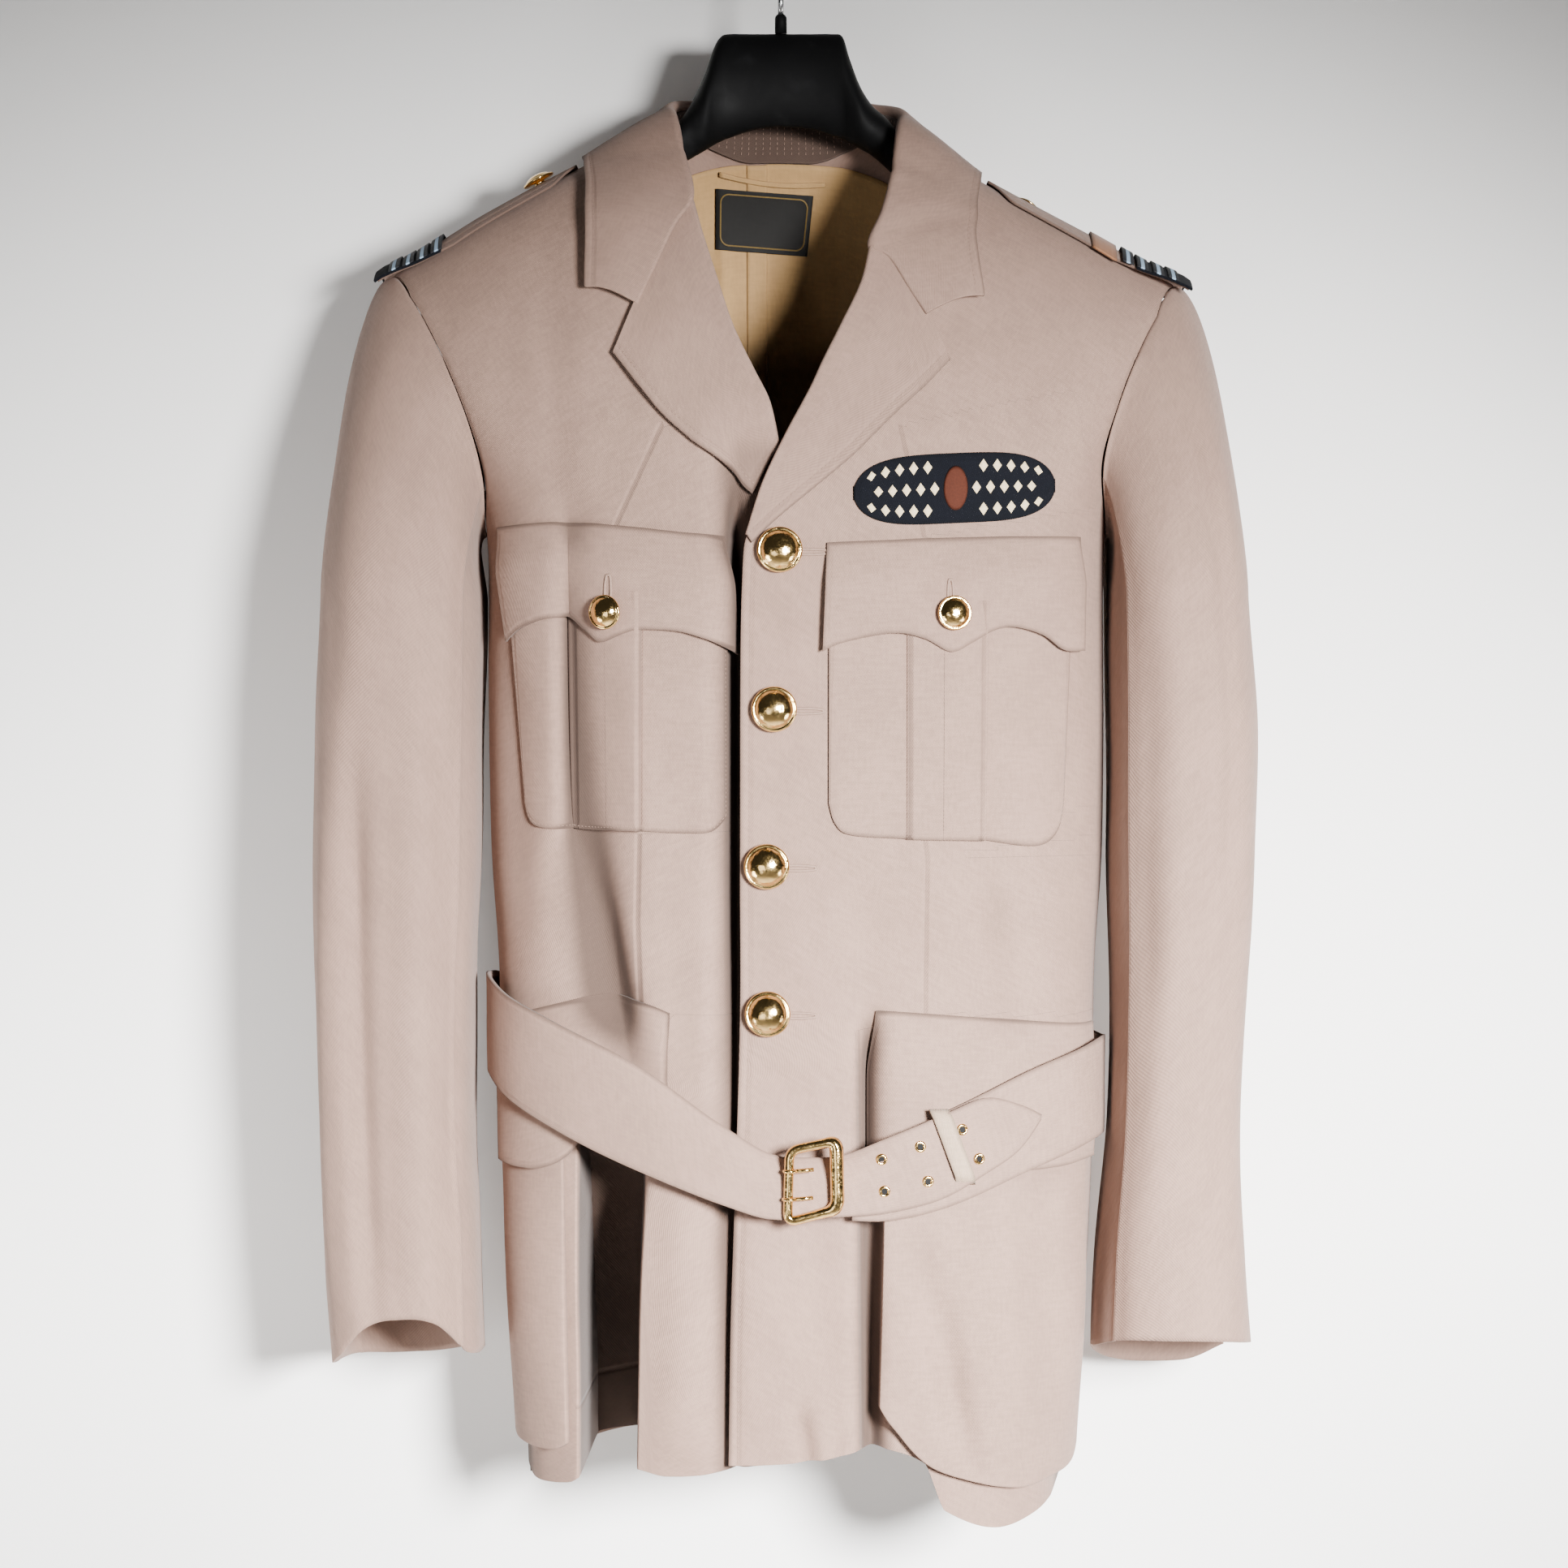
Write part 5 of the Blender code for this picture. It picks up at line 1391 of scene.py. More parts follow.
# Pockets and flaps
def patch_place(columns, folds, lift, bulge=0.0, pleat=None, sewn=None):
    """A patch on a front, from its top edge at v = 0 to its lowest edge at v = 1."""
    last = len(columns) - 1

    def place(key, v):
        wrap = max(-key, key - last, (v - 1) * 10, 0) / WRAP
        column = smooth_row(columns, clamp(key, 0, last))
        v = min(v, 1)
        x = lerp(column.top_x, column.low_x, v)
        z = lerp(column.top_z, column.low_z, v)
        out = lift
        if sewn:
            out = lerp(sewn, lift, ease(v, 0, 0.45))
            out += 0.8 * noise.noise(Vector((x * 0.035, z * 0.01, 11))) * ease(v, 0.2, 1)
        if bulge:
            across = math.sin(math.pi * lerp(0.1, 0.9, clamp(key / last, 0, 1))) ** 0.6
            down = math.sin(math.pi * ease(v, 0.02, 1) * 0.8) ** 0.7
            out = lerp(out + bulge * across * down, -5 if key < 0 else 0.5, clamp(wrap, 0, 1))
        if pleat:
            first, end = pleat
            rise = clamp((key - first - 0.8) / (end - first - 0.7), 0, 1) ** 1.4
            crisp = ease(key, first + 0.62, first + 0.84) * ease(key, end + 0.3, end + 0.16)
            out += crisp * (PLEAT_LIFT * 0.4 + PLEAT_LIFT * rise) * lerp(1.25, 0.7, v)
            out -= 1.2 * bump(key, end + 0.42, 0.16)
        return on_cloth(x, z, out, FRONT, folds)
    return place


def shade_over(lift, marks):
    """How deep in its folds a lifted piece lies, with a soft shade along the pleats it may have."""
    def deep(point):
        pleat = 6 * bump(marks(point), 0, 1.4) if marks else 0
        return sunk(point) + lift + pleat
    return deep


RIGHT_PLEATS = nearest_line([(-113.6, -400, -112.2, -528), (-76.6, -400, -76.9, -530)])
LEFT_PLEATS = nearest_line([(69.8, -405, 69.8, -534), (109.4, -405, 108.8, -535)])


# The pockets of one side: the folds of the front under its chest and hip, the tables of its flaps and bags,
# how far the hip pocket stands out, and the lines of the chest pocket's pleat
Side = namedtuple("Side", "name chest_folds hip_folds chest_flap chest_bag hip_flap hip_bag bulge pleats")
SIDES = table(
    Side,
    ("right", right_chest_folds, plain, RIGHT_CHEST_FLAP, RIGHT_CHEST_BAG, RIGHT_HIP_FLAP, RIGHT_HIP_BAG,
     3.4, RIGHT_PLEATS),
    ("left", left_front_folds, left_swing, LEFT_CHEST_FLAP, LEFT_CHEST_BAG, LEFT_HIP_FLAP, LEFT_HIP_BAG,
     8, LEFT_PLEATS),
)
# One layer of a pocket: its height, the edges that are turned under, those that are stitched, and how much
# painted shade it is given
Layer = namedtuple("Layer", "name drops place height wall edges sewn marks shade")


def layers(s):
    """The four layers of one side's pockets, from the inside outwards."""
    chest, hip = s.chest_folds, s.hip_folds
    chest_bag = patch_place(s.chest_bag, chest, POCKET_LIFT, pleat=PLEAT_COLUMNS)
    chest_flap = patch_place(s.chest_flap, chest, CHEST_FLAP_LIFT, sewn=FLAP_SEAM_LIFT)
    hip_bag = patch_place(s.hip_bag, hip, POCKET_LIFT, s.bulge)
    hip_flap = patch_place(s.hip_flap, chest, HIP_FLAP_LIFT, sewn=FLAP_SEAM_LIFT)
    return table(
        Layer,
        ("chest_pocket", s.chest_bag, chest_bag, 130, THIN, "lrb", "lrb", s.pleats, 2.5),
        ("chest_flap", s.chest_flap, chest_flap, 60, WALL, "lrtb", "t", None, 4.5),
        ("hip_pocket", s.hip_bag, hip_bag, 160, THIN, "", "", None, 6),
        ("hip_flap", s.hip_flap, hip_flap, 85, WALL, "lrtb", "t", None, 4),
    )


def make_pockets():
    for s in SIDES:
        for layer in layers(s):
            keys = spread(layer.place, 0, len(layer.drops) - 1, (0.3, 0.6, 0.9), 3.0, 6.0)
            shares = even(layer.height, 3.0)
            if layer.name == "hip_pocket":
                walls = (0.35, 0.7, 1)
                keys = [-WRAP * share for share in reversed(walls)] + keys
                keys += [keys[-1] + WRAP * share for share in walls]
                shares += [1 + WRAP * share / 10 for share in walls]
            node = f"{s.name}_{layer.name}"
            weave = clothe(node, "cloth", layer.place, keys, shares, woven("stone"), layer.wall,
                           layer.edges, dart=layer.marks, inset=CLOSE_INSET,
                           hollow=shade_over(layer.shade, layer.marks))
            lines = [weave.line(edge, CLOSE_INSET, layer.edges.replace(edge, ""), FORWARD)
                     for edge in layer.sewn]
            if lines:
                sew(f"{node}_stitches", lines, STITCH_LIFT - 0.12, *FINE_STITCH)


# Inside the back
def lining_place(x, drop):
    """The upper back's lining, with the raised strip of its pleat, at a drop below the shoulder line."""
    raised = 1.6 * ease(x, -20, -19) * ease(x, -8, -9)
    drape = 2.2 * noise.noise(Vector((x * 0.06, drop * 0.006, 3))) * ease(drop, 45, 110)
    drape += 2.0 * bump(x, -34, 4) * ease(drop, 50, 90) + 1.6 * bump(x, 27, 5) * ease(drop, 40, 90)
    drape = max(drape, -0.4)
    return on_body(x, ridge(clamp(x, -200, 200)) - drop, LINING_LIFT - raised - 0.5 - drape, BACK)


def label_place(x, v):
    top = lerp(-157.5, -161.5, (x + 38) / 57)
    return on_body(lerp(x, x * 0.94 - 2.5, v), lerp(top, top - 34, v), LABEL_LIFT, BACK)


def loop_place(x, v):
    sag = 2.5 * math.sin(math.pi * (x + 36) / 62)
    return on_body(x, -148.5 - (x + 36) * 0.09 - sag - 2.5 * v, LABEL_LIFT - 0.2 - sag * 0.2, BACK)


def make_inside():
    columns = spread(lining_place, -100, 106, (60, 150), 2.6)
    inward = (0, -1, 0)
    # The lining is given a painted shade that grows towards its bottom
    clothe("back_lining", "lining", lining_place, columns, between(29.8, 218, 58), woven("lining"),
           LINING_WALL, outward=inward, hollow=lambda point: 24 * ease(point.z, -215, -320))
    clothe("neck_label", "label", label_place, between(-38, 19, 19), even(34), woven("label"), LABEL_WALL,
           outward=inward)
    frame_path = []
    for x, v in rounded_rectangle(-35.2, 16.2, 0.08, 0.92, 5.0, 34.0):
        frame_path.append(label_place(x, v) + Vector((0, -0.75, 0)))
    border = bmesh.new()
    tube(border, frame_path, 0.45, 6, True)
    add(finish("label_border", border, thread("gold")))
    clothe("hanging_loop", "lining", loop_place, between(-36, 26, 24), [0, 0.15, 0.5, 0.85, 1],
           woven("lining"), LOOP_WALL, outward=inward)


def rounded_rectangle(left, right, top, low, radius, height):
    """A closed path around a rectangle with round corners; its up and down run in shares of a height."""
    path = []
    corners = ((right, low, 0), (left, low, 90), (left, top, 180), (right, top, 270))
    for x, v, start in corners:
        centre_x = x - math.copysign(radius, x - (left + right) / 2)
        centre_v = v - math.copysign(radius / height, v - (top + low) / 2)
        for n in range(7):
            a = math.radians(start + 15 * n)
            path.append((centre_x + radius * math.cos(a), centre_v + radius / height * math.sin(a)))
    filled = []
    for (x, v), (next_x, next_v) in zip(path, path[1:] + path[:1]):
        count = max(1, round(math.hypot(next_x - x, (next_v - v) * height) / 2.5))
        filled += [(lerp(x, next_x, n / count), lerp(v, next_v, n / count)) for n in range(count)]
    return filled


def tube(shape, path, radius, sides, closed=False, flat=1.0):
    """Adds a round bar along a path to a mesh: a grid rolled around it, edges merged and ends filled."""
    count = len(path)
    stations = count + 1 if closed else count
    made = bmesh.ops.create_grid(shape, x_segments=sides, y_segments=stations - 1, size=1)["verts"]
    normal = None
    frames = []
    for i in range(count):
        before = path[i - 1] if closed or i else path[i]
        after = path[(i + 1) % count] if closed or i < count - 1 else path[i]
        ahead = (after - before).normalized()
        if normal is None:
            normal = ahead.cross(Vector((0.01, 1, 0.02))).normalized()
        normal = (normal - ahead * normal.dot(ahead)).normalized()
        frames.append((normal, ahead.cross(normal)))
    for number, vert in enumerate(made):
        j, i = divmod(number, sides + 1)
        j %= count
        side, up = frames[j]
        thick = radius(j / (count - 1)) if callable(radius) else radius
        turn = math.tau * i / sides
        vert.co = (path[j] + (side * math.cos(turn) + up * math.sin(turn) * flat) * thick) * MM
    bmesh.ops.remove_doubles(shape, verts=made, dist=0.00001)
    if not closed:
        bmesh.ops.holes_fill(shape, edges=[edge for edge in shape.edges if edge.is_boundary], sides=sides)
    bmesh.ops.recalc_face_normals(shape, faces=shape.faces)


def turned(shape, profile, place, axis, steps=36):
    """Adds a turned form to a mesh: a profile of radii and heights, spun around an axis."""
    axis = axis.normalized()
    side = axis.cross(Vector((0.1, 0.2, 1))).normalized()
    verts = [shape.verts.new((place + side * wide + axis * tall) * MM) for wide, tall in profile]
    edges = [shape.edges.new(pair) for pair in zip(verts, verts[1:])]
    bmesh.ops.spin(shape, geom=verts + edges, cent=place * MM, axis=axis, dvec=(0, 0, 0),
                   angle=math.tau, steps=steps, use_merge=True, use_duplicate=False)
    bmesh.ops.remove_doubles(shape, verts=shape.verts, dist=0.00001)
    bmesh.ops.recalc_face_normals(shape, faces=shape.faces)


# Belt and buckle
def belt_place(v, key):
    row = smooth_row(BELT, key)
    side = 2 * v - 1
    ripple = 0.5 * noise.noise(Vector((row.turn * 0.05, v * 1.4, 7)))
    return around(row.turn, row.z + row.half * side, row.lift + ripple - row.lean * max(side, 0) ** 2)


def on_belt(x, z, lift):
    """A place on the belt's front end, seen from the front, lifted over it."""
    turn = 360 + math.degrees(side_angle(x, z))
    row = at_key(BELT, turn)
    side = (z - row.z) / row.half
    return around(turn, z, row.lift + lift - row.lean * max(side, 0) ** 2)


EYELETS = ((53, -705.8), (54.3, -722.7), (73, -699.3), (76.9, -717.9), (94.7, -690.6), (103.4, -706.6))


def make_belt():
    look = woven("stone")
    keys = [0.0]
    for i, (a, b) in enumerate(zip(BELT, BELT[1:])):
        cells = max(2, round(abs(b.turn - a.turn) * TURN_LENGTH / STEP))
        keys += [i + (n + 1) / cells for n in range(cells)]
    weave = clothe("belt", "cloth", belt_place, even(50, 2.8), keys, look, BELT_WALL, "lr",
                   inset=CLOSE_INSET)
    lines = [weave.line(edge, CLOSE_INSET, "", FORWARD) for edge in "lr"]
    sew("belt_stitches", lines, 0.2 + STITCH_LIFT, *FINE_STITCH)
    path = [(lerp(*KEEPER_ENDS[0], t), lerp(*KEEPER_ENDS[1], t)) for t in between(0, 1, 18)]

    def keeper_place(u, v):
        x, z = path[v]
        ends = 4.5 * (1 - ease(v, 0, 2)) + 4.5 * ease(v, 16, 18)
        return around(math.degrees(side_angle(x + 5 * u, z)), z, KEEPER_LIFT - ends)
    clothe("belt_keeper", "cream_loop", keeper_place, [-1, -0.9, -0.5, 0, 0.5, 0.9, 1], range(19),
           woven("cream"), RIBBON_WALL, "lr")
    rings = bmesh.new()
    hole_shade = bmesh.new()
    for x, z in EYELETS:
        centre = on_belt(x, z, 0.9)
        axis = on_belt(x, z, 4) - centre
        turned(rings, [(1.5, 0), (1.7, 0.7), (2.4, 0.9), (3.1, 0.5), (3.2, 0)], centre, axis, 20)
        # A disc of black plastic in each eyelet is painted shade for the hole
        turned(hole_shade, [(0, 0.25), (1.7, 0.25)], centre, axis, 16)
    add(finish("belt_eyelets", rings, gilt_metal()))
    add(finish("belt_holes", hole_shade, hanger_plastic()))


def rounded(centre, corners, radius):
    """A closed path through corners, each cut by an arc."""
    points = []
    count = len(corners)
    for i in range(count):
        at = Vector((corners[i][0], 0, corners[i][1]))
        before = Vector((corners[i - 1][0], 0, corners[i - 1][1]))
        after = Vector((corners[(i + 1) % count][0], 0, corners[(i + 1) % count][1]))
        start = at + (before - at).normalized() * radius
        end = at + (after - at).normalized() * radius
        for j in range(9):
            t = j / 8
            points.append(centre + start * (1 - t) ** 2 + at * 2 * t * (1 - t) + end * t * t)
        points.append(centre + end.lerp(after + (at - after).normalized() * radius, 0.5))
    return points


def make_buckle():
    centre = around(math.degrees(side_angle(17, -718)), -718, BUCKLE_LIFT)
    corners = [(-12.3, 18), (12.6, 23.2), (13.4, -13.2), (-13.4, -20.5)]
    path = rounded(centre, corners, 5.5)

    def thick(share):
        x = path[round(share * (len(path) - 1))].x - centre.x
        return lerp(2.6, 3.8, ease(x, 6, 12))
    shape = bmesh.new()
    tube(shape, path, thick, 16, True)
    buckle = finish("buckle_frame_bar", shape, gilt_metal())
    dress(buckle, "buckle_frame")
    for name, bar, height in (("buckle_prong_upper", -9.9, 7), ("buckle_prong_lower", -10.3, -8)):
        start = centre + Vector((bar, -0.2, height))
        shape = bmesh.new()
        tube(shape, [start, start + Vector((2.5, -1.0, 0.2)), start + Vector((5, -1.2, 0.4)),
                     start + Vector((10.5, -1.0, 1.0))], PRONG, 12)
        dress(finish(name + "_bar", shape, gilt_metal()), name)
        loop = bmesh.new()
        ring = []
        for n in range(20):
            a = math.tau * n / 20
            ring.append(start + Vector((PRONG_LOOP * math.cos(a) - 2.2, PRONG_LOOP * math.sin(a) - 0.2, 0)))
        tube(loop, ring, 1.0, 10, True)
        add(finish(name + "_loop", loop, gilt_metal()))


# Shoulders
def strap_lift(x):
    """The strap's height over the cloth, which grows a little where it crosses the sleeve's seam."""
    return STRAP_LIFT + 1.8 * ease(abs(x), 200, 220)


def strap_place(end):
    """Places a strap across and along the shoulder; it narrows to its point near the neck end."""
    def place(across, x):
        half = 22 * (1 - 0.55 * ease(abs(x), abs(end) + 14, abs(end)))
        return over_shoulder(x, across * half, strap_lift(x))
    return place


def slide_place(across, x):
    """Places what is slid over a strap."""
    return over_shoulder(x, across * 24.5, strap_lift(x) + SLIDE_LIFT)


Shoulder = namedtuple("Shoulder", "name side inner outer slide_at button_x button_y bars")
SHOULDERS = [
    Shoulder("left", 1, 116, 226.5, 198, 137, -12, (193, 201, 209.5, 217.5)),
    Shoulder("right", -1, -114.5, -223.5, -189, -135, 2, (-191, -199, -206.5, -214)),
]


def make_shoulders():
    look = woven("stone")
    across = [-1, -0.975] + between(-0.9, 0.9, 14) + [0.975, 1]
    up = (0, 0, 1)
    for s in SHOULDERS:
        place = strap_place(s.inner)
        along = [lerp(s.inner, s.outer, t) for t in even(112, 3.0)]
        weave = clothe(f"{s.name}_shoulder_strap", "cloth", place, across, along, look, WALL, "lrt", up)
        lines = [weave.line(edge, EDGE_INSET, "tb", Vector(up)) for edge in "lrt"]
        sew(f"{s.name}_shoulder_strap_stitches", lines, STITCH_LIFT)
        stations = [lerp(s.slide_at, s.outer + s.side * 0.5, t) for t in even(36, 3.0)]
        clothe(f"{s.name}_rank_slide", "rank_cloth", slide_place, across, stations, woven("navy"),
               RIBBON_WALL, outward=up)
        for number, x in enumerate(s.bars):
            def bar_place(station, share, x=x):
                return over_shoulder(x + station, share * 24.3, strap_lift(x) + SLIDE_LIFT + 1.2)
            piece, weave = cloth(f"{s.name}_rank_bar_{number + 1}", bar_place, [-3, -2.6, -1, 0, 1, 2.6, 3],
                                 across, rank_braid(), BRAID_WALL, outward=up)
            add(piece)
        place = over_shoulder(s.button_x, s.button_y, STRAP_LIFT + 0.9)
        outward = over_shoulder(s.button_x, s.button_y, STRAP_LIFT + 4) - place
        make_button(f"{s.name}_strap_button", place, outward, 9.5, 5.5)
    clothe("left_strap_keeper", "brown_loop", slide_place, across, between(173, 187, 6), woven("copper"),
           RIBBON_WALL, "tb", up)


# Buttons and buttonholes
BUTTON_PROFILE = [
    (0.32, 0.0), (0.32, 0.2), (0.9, 0.22), (0.98, 0.28), (1.0, 0.36), (0.985, 0.44), (0.93, 0.5),
    (0.89, 0.5), (0.86, 0.47), (0.83, 0.5), (0.74, 0.66), (0.6, 0.81), (0.42, 0.92), (0.22, 0.98),
    (0.0, 1.0),
]


def make_button(node, place, outward, radius, height):
    """A plain domed button with a thin rim, on a short shank."""
    shape = bmesh.new()
    turned(shape, [(wide * radius, tall * height) for wide, tall in BUTTON_PROFILE], place, outward, 40)
    dress(finish(node + "_dome", shape, gilt_metal()), node)


Fastening = namedtuple("Fastening", "name x z lift radius height")
BUTTONS = table(
    Fastening,
    ("front_button_1", -0.5, -378, 1.3, 12.4, 10), ("front_button_2", -3.5, -464, 1.3, 12.4, 10),
    ("front_button_3", -7.5, -549, 1.3, 12.4, 10), ("front_button_4", -7, -629, 1.3, 12.4, 10),
    ("left_chest_button", 92, -412, 8.0, 9.4, 7.5), ("right_chest_button", -91, -411, 8.0, 9.4, 7.5),
)
Hole = namedtuple("Hole", "name x z long turn lift folds")
HOLES = table(
    Hole,
    ("buttonhole_1", 15, -379, 22, 0, 0.9, left_front_folds),
    ("buttonhole_2", 12, -465, 22, 0, 0.9, left_front_folds),
    ("buttonhole_3", 8, -550, 22, 0, 0.9, left_front_folds),
    ("buttonhole_4", 8, -630, 22, 0, 0.9, left_front_folds),
    ("left_flap_buttonhole", 90.5, -402, 16, 90, CHEST_FLAP_LIFT + 0.8, left_front_folds),
    ("right_flap_buttonhole", -91, -400, 18, 90, CHEST_FLAP_LIFT + 0.8, right_chest_folds),
)


def make_buttons():
    for b in BUTTONS:
        folds = right_front_folds if b.name.startswith("right") else left_front_folds
        place = on_cloth(b.x, b.z, b.lift, FRONT, folds)
        outward = on_cloth(b.x, b.z, b.lift + 4, FRONT, folds) - place
        make_button(b.name, place, outward, b.radius, b.height)
    for hole in HOLES:
        c, s = math.cos(math.radians(hole.turn)), math.sin(math.radians(hole.turn))
        path = []
        for n in range(44):
            a = math.tau * n / 44
            run = hole.long / 2 * math.copysign(min(abs(math.cos(a)) * 1.15, 1), math.cos(a))
            wide = 1.45 * math.sin(a)
            path.append(on_cloth(hole.x + c * run - s * wide, hole.z + s * run + c * wide, hole.lift, FRONT,
                                 hole.folds))
        shape = bmesh.new()
        tube(shape, path, 0.75, 8, True)
        add(finish(hole.name, shape, thread("stone")))


# The bar over the left chest pocket
def chest_patch_place(u, v, lift=PATCH_LIFT):
    x = PATCH_CENTRE[0] + PATCH_HALF[0] * u
    half = PATCH_HALF[1] * max(1 - abs(u) ** 4, 0.04) ** 0.5
    z = PATCH_CENTRE[1] + 0.06 * PATCH_HALF[0] * u + half * v
    return on_cloth(x, z, lift, FRONT, left_front_folds)


def make_patch():
    along = spread(chest_patch_place, -1, 1, (-0.9, 0, 0.9), 2.6)
    clothe("chest_patch", "patch", chest_patch_place, along, between(-1, 1, 14), woven("navy"), THIN,
           "lrtb")
    motifs = bmesh.new()
    for row, v in enumerate((-0.62, 0.0, 0.62)):
        for n in range(-6, 7):
            u = (n + (0.5 if row % 2 else 0)) * 0.138
            if abs(u) > 0.84 or abs(u) < 0.2:
                continue
            made = bmesh.ops.create_cone(motifs, cap_ends=True, segments=4, radius1=1, radius2=0.45,
                                         depth=1)["verts"]
            for vert in made:
                x, y, z = vert.co
                vert.co = chest_patch_place(u + x * 0.047, v + y * 0.2, PATCH_LIFT + 0.75 + 0.5 * z) * MM
    add(finish("patch_lozenges", motifs, thread("cream"), False))
    middle = bmesh.new()
    made = bmesh.ops.create_cone(middle, cap_ends=True, segments=28, radius1=1, radius2=0.8,
                                 depth=1)["verts"]
    for vert in made:
        x, y, z = vert.co
        vert.co = chest_patch_place(x * 0.125, y * 0.66, PATCH_LIFT + 0.8 + 0.7 * z) * MM
    add(finish("patch_centre", middle, thread("rust")))


# Hanger
def make_hanger():
    sides = 28
    stations = []
    for i in range(len(HANGER) - 1):
        stations += [i + n / 4 for n in range(4)]
    stations.append(len(HANGER) - 1)
    shape = bmesh.new()
    made = bmesh.ops.create_grid(shape, x_segments=sides, y_segments=len(stations) - 1, size=1)["verts"]
    for number, vert in enumerate(made):
        j, i = divmod(number, sides + 1)
        station = smooth_row(HANGER, stations[j])
        centre, half = (station.top + station.low) / 2, (station.top - station.low) / 2
        turn = math.tau * i / sides
        vert.co = Vector((station.x, station.depth * math.cos(turn), centre + half * math.sin(turn))) * MM
    bmesh.ops.remove_doubles(shape, verts=made, dist=0.00001)
    bmesh.ops.holes_fill(shape, edges=[edge for edge in shape.edges if edge.is_boundary], sides=sides)
    bmesh.ops.recalc_face_normals(shape, faces=shape.faces)
    dress(finish("hanger_moulding", shape, hanger_plastic()), "hanger_body")
    shape = bmesh.new()
    up = Vector((0, 0, 1))
    turned(shape, [(0, 0), (PLUG, 0), (PLUG, 8.4), (PLUG * 0.92, 9.4), (PLUG * 0.7, 10.4), (0, 10.4)],
           Vector((0, 0, -77.6)), up, 28)
    dress(finish("hanger_plug_cap", shape, hanger_plastic()), "hanger_plug")
    wire = [Vector((x, 0, z)) for x, z in ((0, -66.8), (0, -58), (0, -50), (-3, -44), (-10.5, -38))]
    ring = CROWN + WIRE
    for degrees in range(215, -41, -6):
        a = math.radians(degrees)
        wire.append(Vector((ring * math.cos(a), 0, -CROWN + ring * math.sin(a))))
    shape = bmesh.new()
    tube(shape, wire, WIRE, 14)
    dress(finish("hanger_hook_wire", shape, hook_steel()), "hanger_hook")


# The stage: a painted wall that curves into a floor, soft lights and the camera
def sweep_of_wall(width, low, high, radius, behind, reach):
    """A wall that curves into a floor: a grid bent along its height."""
    shape = bmesh.new()
    made = bmesh.ops.create_grid(shape, x_segments=8, y_segments=60, size=1)["verts"]
    bend = math.pi / 2 * radius
    tall = high - low - radius
    total = reach + bend + tall
    for vert in made:
        run = (vert.co.y + 1) / 2 * total
        if run < reach:
            place = (behind - radius - reach + run, low)
        elif run < reach + bend:
            a = (run - reach) / radius
            place = (behind - radius + radius * math.sin(a), low + radius - radius * math.cos(a))
        else:
            place = (behind, low + radius + run - reach - bend)
        vert.co = Vector((vert.co.x * width / 2, place[0], place[1]))
    bmesh.ops.recalc_face_normals(shape, faces=shape.faces)
    if min(shape.faces, key=lambda face: face.calc_center_median().z).normal.z < 0:
        bmesh.ops.reverse_faces(shape, faces=shape.faces)
    return shape


def add_light(name, place, target, power, size, spread_angle=180, colour=(1, 1, 1)):
    data = bpy.data.lights.new(name, "AREA")
    data.energy = power
    data.shape = "DISK"
    data.size = size
    data.spread = math.radians(spread_angle)
    data.color = colour
    thing = bpy.data.objects.new(name, data)
    thing.location = place
    thing.rotation_euler = (Vector(target) - Vector(place)).to_track_quat("-Z", "Y").to_euler()
    bpy.context.scene.collection.objects.link(thing)
    return thing


def make_stage():
    stage = bpy.context.scene.jacket_stage
    shape = sweep_of_wall(6.0, -1.42, 2.2, 0.5, stage.wall_behind, 2.6)
    wall = finish("studio_wall", shape, paint("Wall paint", tuple(stage.wall_colour), 0.9))
    lights = [
        add_light("key_light", (0.66, -1.65, -0.4), (0.03, 0, -0.86), stage.key_power, 0.4, 57),
        add_light("fill_light", (-0.8, -1.9, -0.9), (0, 0, -0.75), stage.fill_power, 0.9, 80),
        add_light("left_wall_light", (-0.85, -0.3, -1.05), (-0.45, 0.085, -0.62), stage.wall_power, 0.4,
                  80),
        add_light("right_wall_light", (0.95, -0.3, -1.0), (0.55, 0.085, -0.6), stage.wall_power, 0.4, 70),
    ]
    world = bpy.data.worlds.new("Studio air")
    world.use_nodes = True
    world.node_tree.nodes["Background"].inputs["Color"].default_value = (1.0, 0.985, 0.97, 1)
    world.node_tree.nodes["Background"].inputs["Strength"].default_value = stage.air_strength
    bpy.context.scene.world = world
    view = bpy.data.cameras.new("camera")
    view.sensor_width = 36
    view.lens = 36 * 1.8 / 0.8916
    view.clip_start = 0.05
    camera = bpy.data.objects.new("camera", view)
    camera.location = (0.0018, -1.8, -0.5044)
    camera.rotation_euler = (math.pi / 2, 0, 0)
    bpy.context.scene.collection.objects.link(camera)
    bpy.context.scene.camera = camera


# Settings, operators and panel
def colour_setting(name, about, default):
    return FloatVectorProperty(name=name, description=about, size=3, min=0, max=1, subtype="COLOR",
                               default=default)


def power_setting(name, about, default):
    return FloatProperty(name=name, description=about, default=default, min=0, unit="POWER")


class JacketLooks(bpy.types.PropertyGroup):
    """Colours of the jacket's cloths, thread and metal."""
    cloth: colour_setting("Cloth", "Colour of the stone gabardine", STONE)
    lining: colour_setting("Lining", "Colour of the tan lining", TAN)
    thread: colour_setting("Thread", "Colour of the stitching", THREAD)
    gilt: colour_setting("Gilt", "Colour of the buttons and buckle", GILT)


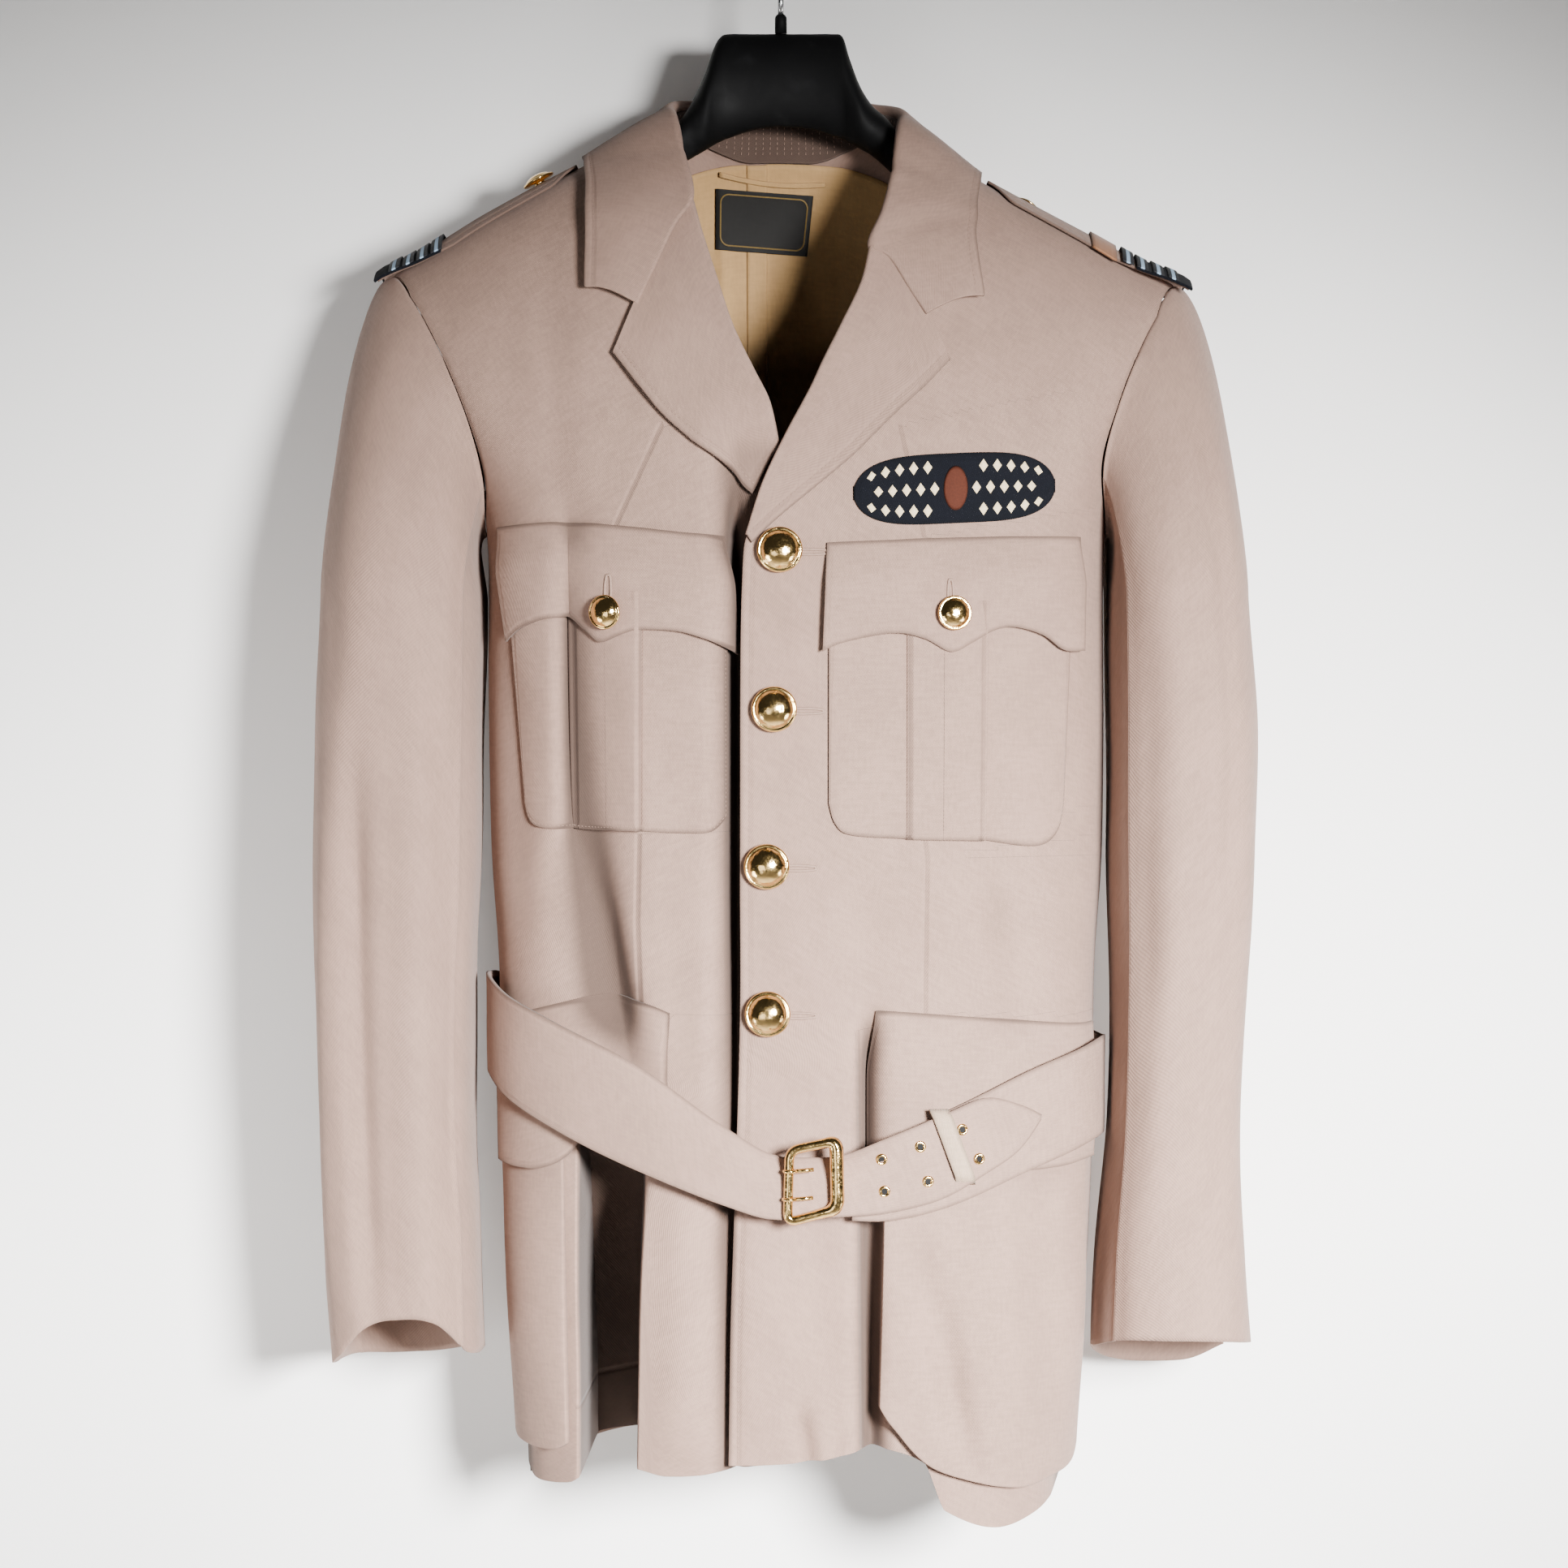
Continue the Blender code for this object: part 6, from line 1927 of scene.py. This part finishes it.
class JacketStage(bpy.types.PropertyGroup):
    """The wall, the lights and the air of the studio."""
    wall_behind: FloatProperty(name="Wall behind", description="How far the wall stands behind the hook",
                               default=0.085, min=0.07, max=1.0, unit="LENGTH")
    wall_colour: colour_setting("Wall", "Colour of the painted wall", WALL_PAINT)
    key_power: power_setting("Key", "Power of the soft light from the upper right", 23.0)
    fill_power: power_setting("Fill", "Power of the soft light from the left", 1.4)
    wall_power: power_setting("Wall lights", "Power of each light on the wall", 2.2)
    air_strength: FloatProperty(name="Air", description="Strength of the light from all around",
                                default=0.035, min=0, max=5)


def build_step(name, label, about, *makers):
    """An operator that makes some of the jacket's pieces."""
    def execute(self, context):
        for maker in makers:
            maker()
        return {"FINISHED"}
    return type(f"JACKET_OT_make_{name}", (bpy.types.Operator,), {
        "__doc__": "Makes " + about,
        "bl_idname": f"jacket.make_{name}",
        "bl_label": label,
        "execute": execute,
    })


STEPS = (
    build_step("body", "Fronts and backs", "the two fronts and the two backs", make_body),
    build_step("sleeves", "Sleeves", "the top and under halves of both sleeves", make_sleeves),
    build_step("collar", "Collar and lapels", "the collar's fall and stand, and the lapels", make_collar),
    build_step("pockets", "Pockets", "the four pockets with their flaps", make_pockets),
    build_step("inside", "Lining and label", "the back's lining, the label and the hanging loop",
               make_inside),
    build_step("belt", "Belt and buckle", "the belt with its eyelets, keeper and buckle",
               make_belt, make_buckle),
    build_step("shoulders", "Shoulder straps", "the shoulder straps with their rank slides",
               make_shoulders),
    build_step("buttons", "Buttons", "the buttons and the buttonholes", make_buttons),
    build_step("patch", "Chest bar", "the plain bar over the left chest pocket", make_patch),
    build_step("hanger", "Hanger", "the hanger with its hook", make_hanger),
    build_step("stage", "Stage", "the wall, the lights and the camera", make_stage),
)


class JacketPanel(bpy.types.Panel):
    """Lists the jacket's settings and the steps that make it"""
    bl_idname = "VIEW3D_PT_bush_jacket"
    bl_label = "Bush Jacket"
    bl_space_type = "VIEW_3D"
    bl_region_type = "UI"
    bl_category = "Bush Jacket"

    def draw(self, context):
        for settings in (context.scene.jacket_looks, context.scene.jacket_stage):
            box = self.layout.box()
            for name in settings.__annotations__:
                box.prop(settings, name)
        for step in STEPS:
            self.layout.operator(step.bl_idname)


CLASSES = (JacketLooks, JacketStage) + STEPS + (JacketPanel,)


def register():
    for kind in CLASSES:
        bpy.utils.register_class(kind)
    bpy.types.Scene.jacket_looks = PointerProperty(type=JacketLooks)
    bpy.types.Scene.jacket_stage = PointerProperty(type=JacketStage)


def unregister():
    del bpy.types.Scene.jacket_stage
    del bpy.types.Scene.jacket_looks
    for kind in reversed(CLASSES):
        bpy.utils.unregister_class(kind)


def main():
    register()
    for step in STEPS:
        group_name, step_name = step.bl_idname.split(".")
        getattr(getattr(bpy.ops, group_name), step_name)()


if __name__ == "__main__":
    main()
